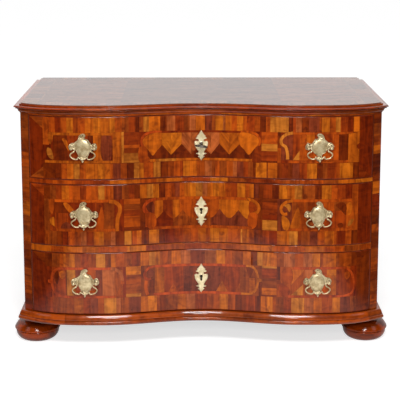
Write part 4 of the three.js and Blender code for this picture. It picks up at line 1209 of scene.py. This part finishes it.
PLATE_HALF_WIDTH = 47
PLATE_HALF_HEIGHT = 46
PLATE_GRID = 0.0014
PLATE_BACK = 0.0007
PLATE_SHARES = [
    (-1, 0.08), (-0.96, -0.1), (-0.78, -0.14), (-0.53, -0.17), (-0.42, -0.38), (-0.26, -0.68), (0.04, -0.8),
    (0.33, -0.62), (0.49, -0.31), (0.62, -0.15), (0.82, -0.18), (0.97, -0.1), (1, 0.08), (0.92, 0.27),
    (0.78, 0.34), (0.6, 0.27), (0.46, 0.42), (0.36, 0.58), (0.2, 0.64), (0.12, 0.74), (0.2, 0.87),
    (0.13, 0.99), (-0.02, 1.03), (-0.18, 0.97), (-0.3, 0.82), (-0.35, 0.62), (-0.5, 0.47), (-0.62, 0.37),
    (-0.78, 0.36), (-0.93, 0.25),
]
LOBE_SHARES = [
    (-0.42, -0.38), (-0.22, -0.5), (-0.16, -0.66), (-0.22, -0.84), (-0.08, -1), (0.1, -0.99), (0.22, -0.84),
    (0.16, -0.66), (0.24, -0.5), (0.49, -0.31),
]
lobe_from, lobe_to = PLATE_SHARES.index(LOBE_SHARES[0]), PLATE_SHARES.index(LOBE_SHARES[-1])
LOBED_SHARES = PLATE_SHARES[:lobe_from] + LOBE_SHARES + PLATE_SHARES[lobe_to + 1:]
SCROLLS = [(0.0, 0.88, 8.5, 1), (-0.86, 0.12, 7.5, 1), (0.84, 0.1, 7.5, -1)]
LOBE_SCROLL = (0.0, -0.84, 8.0, -1)
DOME_HALF_WIDTH = 25
DOME_HALF_HEIGHT = 29
DOME_BELOW = 1.5
DOME_RISE = 3.6
FLUTES = 34
FLUTES_START = 1.14
FLUTES_END = 1.75
SCROLL_REACH = 1.6
SCROLL_PITCH = 0.62


def scroll(dx, dz, size, way):
    """A knob with a spiral round it, hollow in its middle and sunk at its edge."""
    far = math.hypot(dx, dz)
    if far >= size * SCROLL_REACH:
        return 0.0
    swirl = math.cos(2 * math.pi * far / (size * SCROLL_PITCH) + way * math.atan2(dz, dx))
    knob = (1.9 + 0.9 * swirl) * math.exp(-((far / size) ** 2) * 1.4)
    return knob - 3.0 * bell(far, 0, 1.9) - 0.9 * bell(far, size * 1.15, 1.1)


def plate_height(scrolls, hand):
    """The chased face of a back plate: rounded rim, sunk ground, dome, flutes and scrolls."""

    def height(x, z, edge):
        x, z, edge = hand * x / MM, z / MM, edge / MM
        rise = rounded_rim(edge, 0.9, 1.3, 1.5) + 0.7 * bell(edge, 1.7, 0.8) - 0.55 * bell(edge, 3.6, 1.0)
        reach = math.hypot(x / DOME_HALF_WIDTH, (z + DOME_BELOW) / DOME_HALF_HEIGHT)
        if reach < 1:
            rise += DOME_RISE * (1 - reach**4) ** 0.75
        rise += 0.4 * bell(reach, 1.1, 0.06) - 0.35 * bell(reach, 1.0, 0.06)
        if FLUTES_START < reach < FLUTES_END:
            window = math.sin(math.pi * (reach - FLUTES_START) / (FLUTES_END - FLUTES_START))
            rise += 0.55 * window * math.cos(FLUTES * math.atan2(z, x))
        for share_x, share_z, size, way in scrolls:
            rise += scroll(x - share_x * PLATE_HALF_WIDTH, z - share_z * PLATE_HALF_HEIGHT, size, way)
        return rise * MM

    return height


def make_plate(hand, lobed):
    shares = LOBED_SHARES if lobed else PLATE_SHARES
    points = [(x * PLATE_HALF_WIDTH, z * PLATE_HALF_HEIGHT) for x, z in shares]
    outline = in_metres(catmull(points, 6, closed=True))
    scrolls = SCROLLS + ([LOBE_SCROLL] if lobed else [])
    if hand > 0:
        outline = [(-x, z) for x, z in reversed(outline)]
    return relief(outline, [], plate_height(scrolls, -hand), PLATE_GRID, PLATE_BACK)


# Posts: each a collar, a stem and a ball

POST_FACETS = 24
POST_FOOT = [
    (0, 0), (7.2, 0), (7.2, 2.6), (6.6, 3.4), (5, 3.9), (4.4, 4.6), (5.2, 5.3), (4.4, 6), (3.4, 6.8),
    (3.3, 8.6), (4.3, 9.4),
]
POST_BALL = arc(0, 14, 5.8, 5.8, -0.55, 1, 12)[:-1] + [(0, 19.8)]


def add_posts(made):
    for end in (-1, 1):
        centre = Vector((end * POST_HALF, 0, 0))
        lathe(POST_FOOT + POST_BALL, POST_FACETS, centre, Vector((0, -1, 0)), made)


# Bails: shares of half the distance between the posts and of the drop

BAIL_SHARES = [
    (1.1, 0), (0.8, 0), (0.73, -0.02), (0.69, -0.14), (0.73, -0.26), (0.86, -0.36), (1.01, -0.48),
    (1.08, -0.63), (1, -0.81), (0.83, -0.95), (0.62, -1.02), (0.45, -0.99), (0.37, -0.85), (0.26, -0.92),
    (0.13, -0.99),
]
CUSP = 0.37 * POST_HALF
CUSP_DROP = 0.85 * BAIL_DROP
KNOP_DROP = 0.31 * BAIL_DROP
PIN_LENGTH = 0.0061
PIN_RADIUS = 0.0018
BAR_RADIUS = 0.0021
BAR_FACETS = 14
MIDDLE_SWELL = 0.0012
FINIAL_FACETS = 20
FINIAL_BELOW = 0.001
FINIAL = [
    (0, -11), (0.9, -10.6), (1.7, -9.6), (2.4, -8), (3.1, -6), (3.2, -4.8), (2.6, -3.4), (1.6, -2.6),
    (2.6, -2), (2.9, -1.3), (2.3, -0.4), (1.6, 0.4), (0, 0.4),
]


def bail_radius(x, z):
    """Thin at the pins, swelling to the middle between two rings, with knops at the cusps and the sides."""
    reach = abs(x)
    radius = BAR_RADIUS
    if z > -BAR_RADIUS / 2 and reach > POST_HALF - PIN_LENGTH:
        radius = PIN_RADIUS
    elif reach < CUSP:
        radius += MIDDLE_SWELL * (1 - math.cos(math.pi * (1 - reach / CUSP))) / 2
        radius += 0.0007 * max(bell(reach, 0.0045, 0.0007), bell(reach, 0.0065, 0.0006))
    radius += 0.0011 * bell(math.hypot(reach - CUSP, z + CUSP_DROP), 0, 0.0016)
    return radius + 0.0009 * bell(z, -KNOP_DROP, 0.0011)


def sweep(points, radii, count):
    """A round bar along a line in the x-z plane."""
    made = bmesh.new()
    line = [Vector((x, 0, z)) for x, z in points]
    ahead = Vector((0, -1, 0))
    rings = []
    for i, (point, radius) in enumerate(zip(line, radii)):
        along = (line[min(i + 1, len(line) - 1)] - line[max(i - 1, 0)]).normalized()
        side = Vector((-along.z, 0, along.x))
        rings.append([made.verts.new(point + (side * c + ahead * s) * radius) for c, s in round_steps(count)])
    skin(made, rings)
    made.faces.new(rings[0][::-1])
    made.faces.new(rings[-1])
    return made


def make_bail():
    half = [(x * POST_HALF, z * BAIL_DROP) for x, z in BAIL_SHARES]
    points = catmull([(-x, z) for x, z in half] + [(0, -BAIL_DROP)] + half[::-1], 6)
    made = sweep(points, [bail_radius(x, z) for x, z in points], BAR_FACETS)
    lathe(FINIAL, FINIAL_FACETS, Vector((0, 0, -BAIL_DROP - FINIAL_BELOW)), into=made)
    bmesh.ops.translate(made, verts=made.verts[:], vec=(0, -POST_REACH, 0))
    bmesh.ops.recalc_face_normals(made, faces=made.faces[:])
    return made


def pivot_of(name):
    return Vector(next(joint["pos_m"] for joint in frame["joints"] if joint["name"] == name))


SEAT_Y = pivot_of("bail_1_left_swing").y + POST_REACH * math.cos(HANDLE_TURN)


def handle_matrix(number, side):
    """Where a handle sits: its seat on the curved front, as the model has it."""
    low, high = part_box(f"bail_{number}_{side}")
    turn = Matrix.Rotation(SIDES[side] * HANDLE_TURN, 4, "Z")
    ahead = turn @ Vector((0, -POST_REACH, 0))
    seat = Vector(((low.x + high.x) / 2 - ahead.x, SEAT_Y, pivot_of(f"bail_{number}_left_swing").z))
    return Matrix.Translation(seat) @ turn


for number in DRAWERS:
    for side, hand in SIDES.items():
        seat = handle_matrix(number, side)
        plate = make_plate(hand, number == 1 and side == "right")
        add_posts(plate)
        bmesh.ops.transform(plate, matrix=seat, verts=plate.verts[:])
        node = f"handle_plate_{number}_{side}"
        to_object(f"{node}_chased", plate, brass, f"drawer_{number}", (node,))
        bail = make_bail()
        bmesh.ops.transform(bail, matrix=seat, verts=bail.verts[:])
        node = f"bail_{number}_{side}"
        to_object(f"{node}_cast", bail, brass, node, (node,))

# Escutcheons: shares of half the width and of the height above or below the keyhole

ESCUTCHEON_BELOW = 57
ESCUTCHEON_HALF = 22.5
ESCUTCHEON_GRID = 0.0012
ESCUTCHEON_UPPER = [
    (0, 1), (0.19, 0.85), (0.34, 0.74), (0.49, 0.65), (0.61, 0.6), (0.6, 0.53), (0.66, 0.48), (0.81, 0.41),
    (0.74, 0.34), (0.46, 0.32), (0.4, 0.25), (0.46, 0.18), (0.68, 0.19), (0.87, 0.19), (0.99, 0.12),
]
ESCUTCHEON_LOWER = [
    (1, -0.02), (0.91, -0.16), (0.75, -0.28), (0.57, -0.39), (0.44, -0.48), (0.45, -0.54), (0.77, -0.58),
    (0.72, -0.62), (0.42, -0.65), (0.33, -0.7), (0.51, -0.76), (0.34, -0.82), (0.21, -0.88), (0.09, -0.95),
    (0, -1),
]
BOSSES = [(18, 3, 4.5), (13.5, -33.5, 3.5), (9, -43.5, 3), (12, 24, 3.5)]
RING_HALF_WIDTH = 9.5
RING_HALF_HEIGHT = 17
RING_BELOW = 4.5
RAYS = 18
RAYS_START = 1.15
RAYS_BELOW = 4


def escutcheon_height(x, z, edge):
    """The chased face of an escutcheon: rounded rim, a ring round the keyhole, rays and bosses."""
    x, z, edge = x / MM, z / MM, edge / MM
    rise = rounded_rim(edge, 1.0, 1.0, 1.3) + 0.8 * bell(edge, 1.5, 0.7)
    reach = math.hypot(x / RING_HALF_WIDTH, (z + RING_BELOW) / RING_HALF_HEIGHT)
    rise += 0.35 * bell(reach, 1.0, 0.13)
    if reach > RAYS_START:
        turn = math.atan2(z + RAYS_BELOW, x)
        rise += 0.35 * math.cos(RAYS * turn) * min(1.0, (reach - RAYS_START) * 2)
    for boss_x, boss_z, size in BOSSES:
        rise += 1.1 * bell(math.hypot(abs(x) - boss_x, z - boss_z), 0, size)
    return rise * MM


half = [(x * ESCUTCHEON_HALF, z * ESCUTCHEON_ABOVE) for x, z in ESCUTCHEON_UPPER]
half += [(x * ESCUTCHEON_HALF, z * ESCUTCHEON_BELOW) for x, z in ESCUTCHEON_LOWER]
mirrored_half = [(-x, z) for x, z in half[-2:0:-1]]
escutcheon_outline = in_metres(catmull(half + mirrored_half, 4, closed=True))
for number in DRAWERS:
    node = f"escutcheon_{number}"
    made = relief(escutcheon_outline, [in_metres(keyhole())], escutcheon_height, ESCUTCHEON_GRID)
    place = (0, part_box(node)[1].y, keyhole_height(number))
    bmesh.ops.translate(made, verts=made.verts[:], vec=place)
    to_object(f"{node}_chased", made, bright_brass, f"drawer_{number}", (node,))


# Key: a bow bent from a flattened bar, a turned collar, a shank and a bit

BOW_HALF_WIDTH = 0.0215
BOW_HALF_LENGTH = 0.0155
BOW_BAR = 0.0025
BOW_HALF_THICKNESS = 0.0022
BOW_SWELL = 0.2
BOW_STEPS = 48
BOW_FACETS = 12
KEY_TILT = math.radians(8)
SHANK_OVERLAP = 0.003
SHANK_FACETS = 24
COLLAR_FROM_TIP = 24.5
BIT_SIZE = (0.0098, 0.006, 0.0022)
BIT_REACH = 0.0061
BIT_FROM_TIP = 0.0031


def shank_profile(tip):
    """From the bow to the tip, in millimetres: a knop at the bow, a ring, and a collar further on."""
    collar = tip - COLLAR_FROM_TIP
    bow_end = [(0, 0), (3.6, 0), (4.4, 1.2), (3.6, 2.6), (3, 3.2)]
    ring = [(3, 10), (3.8, 11), (4.5, 12), (3.8, 13), (3, 14)]
    lower = [(3, collar), (4.4, collar + 0.5), (4.6, collar + 2), (4.4, collar + 3.6), (3, collar + 4.2)]
    return bow_end + ring + lower + [(3, tip - 0.6), (2.4, tip), (0, tip)]


def make_key():
    low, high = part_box("key")
    middle_y = low.y + BOW_HALF_LENGTH
    made = bmesh.new()
    rings = []
    for c, s in round_steps(BOW_STEPS):
        centre = Vector(((BOW_HALF_WIDTH - BOW_BAR) * c, middle_y + (BOW_HALF_LENGTH - BOW_BAR) * s, 0))
        away = Vector((c / BOW_HALF_WIDTH, s / BOW_HALF_LENGTH, 0)).normalized()
        away *= BOW_BAR * (1 - BOW_SWELL * (c * c - s * s))
        up = Vector((0, 0, BOW_HALF_THICKNESS))
        rings.append([made.verts.new(centre + away * a + up * b) for a, b in round_steps(BOW_FACETS)])
    skin(made, rings + rings[:1])
    start = middle_y + BOW_HALF_LENGTH - SHANK_OVERLAP
    profile = shank_profile((high.y - start) / MM)
    lathe(profile, SHANK_FACETS, Vector((0, start, 0)), Vector((0, 1, 0)), made)
    bit = bmesh.ops.create_cube(made, size=1.0)["verts"]
    bmesh.ops.scale(made, vec=BIT_SIZE, verts=bit)
    bmesh.ops.translate(made, vec=(BIT_REACH, high.y - BIT_FROM_TIP, 0), verts=bit)
    place = Matrix.Translation((0, 0, (low.z + high.z) / 2)) @ Matrix.Rotation(KEY_TILT, 4, "Y")
    bmesh.ops.transform(made, matrix=place, verts=made.verts[:])
    bmesh.ops.recalc_face_normals(made, faces=made.faces[:])
    to_object("key_forged", made, iron, "key", ("key",))


make_key()


# Finishes of the model's own pieces

def finish_for(name):
    if name.startswith("lock_"):
        return iron
    if name.startswith(("runner", "kicker")) or "_side_" in name:
        return pine_y
    if name == "back_panel":
        return back_boards
    if name.startswith("drawer") and not name.endswith("front"):
        return pine_x
    return dark_edge


for name, shown in frame["nodes"].items():
    if not shown.hide_render:
        shown.data.materials.clear()
        shown.data.materials.append(finish_for(name))

# Floor: pale and softly glowing, fading to nothing far in front and to the sides

FLOOR_REACH = 9.0
FLOOR_FRONT = -6.0
FADE_START_Y = -1.8
FADE_END_Y = -1.35
PALE_HALF_WIDTH = 0.8
PALE_SPREAD = 0.19
SIDE_FADE = 0.4
FLOOR_DARKER = (0.6, 0.6, 0.6, 1)
FLOOR_LIGHTER = (0.64, 0.64, 0.64, 1)
GLOW_NEAR_Y = 0.1
GLOW_FAR_Y = 2.2
GLOW_NEAR = 0.66
GLOW_FAR = 0.8


def make_floor():
    mesh = bpy.data.meshes.new("floor")
    reach, far = FLOOR_REACH, 2 * FLOOR_REACH
    corners = [(-reach, FLOOR_FRONT, 0), (reach, FLOOR_FRONT, 0), (reach, far, 0), (-reach, far, 0)]
    mesh.from_pydata(corners, [], [(0, 1, 2, 3)])
    floor = bpy.data.objects.new("floor", mesh)
    bpy.context.scene.collection.objects.link(floor)
    material, tree, shader = new_material("pale_floor", Roughness=0.9, Specular_IOR_Level=0.0)
    place = add_node(tree, "TexCoord").outputs["Object"]
    shade = mix(tree, noise(tree, place, (3.0, 3.0, 3.0), 3.0), FLOOR_DARKER, FLOOR_LIGHTER)
    parts = add_node(tree, "SeparateXYZ", {0: place}).outputs
    ahead = remap(tree, parts["Y"], FADE_START_Y, FADE_END_Y)
    aside = math_node(tree, "MULTIPLY_ADD", parts["Y"], -PALE_SPREAD, math_node(tree, "ABSOLUTE", parts["X"]))
    between_sides = remap(tree, aside, PALE_HALF_WIDTH, PALE_HALF_WIDTH + SIDE_FADE, 1.0, 0.0)
    glow = remap(tree, parts["Y"], GLOW_NEAR_Y, GLOW_FAR_Y, GLOW_NEAR, GLOW_FAR)
    glow = math_node(tree, "MULTIPLY", glow, math_node(tree, "MAXIMUM", *ray_kinds(tree)))
    shader.inputs["Emission Color"].default_value = (1, 1, 1, 1)
    tree.links.new(glow, shader.inputs["Emission Strength"])
    tree.links.new(shade, shader.inputs["Base Color"])
    pale = math_node(tree, "MULTIPLY", ahead, between_sides)
    clear = add_node(tree, "BsdfTransparent").outputs[0]
    whole = add_node(tree, "MixShader", {0: pale, 1: clear, 2: shader.outputs[0]})
    tree.links.new(whole.outputs[0], tree.nodes["Material Output"].inputs["Surface"])
    mesh.materials.append(material)


make_floor()


# World: white to the camera, bright behind the chest in reflections, and else a dim even light

AMBIENT = 0.31
BACKDROP = 1.38
BACKDROP_START = -0.1
BACKDROP_FULL = 0.3


def make_world():
    world = bpy.data.worlds.new("studio")
    bpy.context.scene.world = world
    world.use_nodes = True
    tree = world.node_tree
    direction = add_node(tree, "TexCoord").outputs["Generated"]
    backwards = add_node(tree, "SeparateXYZ", {0: direction}).outputs["Y"]
    backdrop = remap(tree, backwards, BACKDROP_START, BACKDROP_FULL, 0.0, BACKDROP)
    seen, glossy = ray_kinds(tree)
    plain = math_node(tree, "SUBTRACT", 1.0, math_node(tree, "MAXIMUM", seen, glossy))
    mirrored = math_node(tree, "MULTIPLY", glossy, backdrop)
    strength = math_node(tree, "ADD", math_node(tree, "MULTIPLY_ADD", plain, AMBIENT, mirrored), seen)
    background = tree.nodes["Background"]
    background.inputs["Color"].default_value = (1, 1, 1, 1)
    tree.links.new(strength, background.inputs["Strength"])


make_world()


# Lamps

LAMP_TARGET = Vector((0, 0, 0.4))
LAMPS = {
    "high_softbox": ((0.0, -3.6, 3.3), (1.7, 0.6), 138),
    "front_lamp": ((0.05, -4.1, 1.85), (0.7, 0.5), 46),
    "left_softbox": ((-3.2, -2.2, 2.6), (1.2, 1.2), 8),
    "right_softbox": ((3.2, -2.2, 2.6), (1.2, 1.2), 8),
}

for name, (place, size, power) in LAMPS.items():
    data = bpy.data.lights.new(name, "AREA")
    data.shape = "RECTANGLE"
    data.size, data.size_y = size
    data.energy = power
    made = bpy.data.objects.new(name, data)
    bpy.context.scene.collection.objects.link(made)
    made.location = place
    made.rotation_euler = (LAMP_TARGET - Vector(place)).to_track_quat("-Z", "Y").to_euler()

# Camera, as fitted to the photo

PHOTO_PIXELS = 400
FOCAL_PIXELS = 1233.5
SHIFT_PIXELS = -75
SENSOR_WIDTH = 36
CAMERA_PLACE = (-0.0322, -4.2939, 1.4675)
CAMERA_PITCH = -0.1746
CAMERA_YAW = -0.007

camera_data = bpy.data.cameras.new("camera")
camera_data.sensor_width = SENSOR_WIDTH
camera_data.lens = FOCAL_PIXELS / PHOTO_PIXELS * SENSOR_WIDTH
camera_data.shift_y = SHIFT_PIXELS / PHOTO_PIXELS
camera = bpy.data.objects.new("camera", camera_data)
bpy.context.scene.collection.objects.link(camera)
camera.location = CAMERA_PLACE
camera.rotation_euler = (math.pi / 2 + CAMERA_PITCH, 0, CAMERA_YAW)
bpy.context.scene.camera = camera
bpy.context.scene.view_settings.view_transform = "Standard"
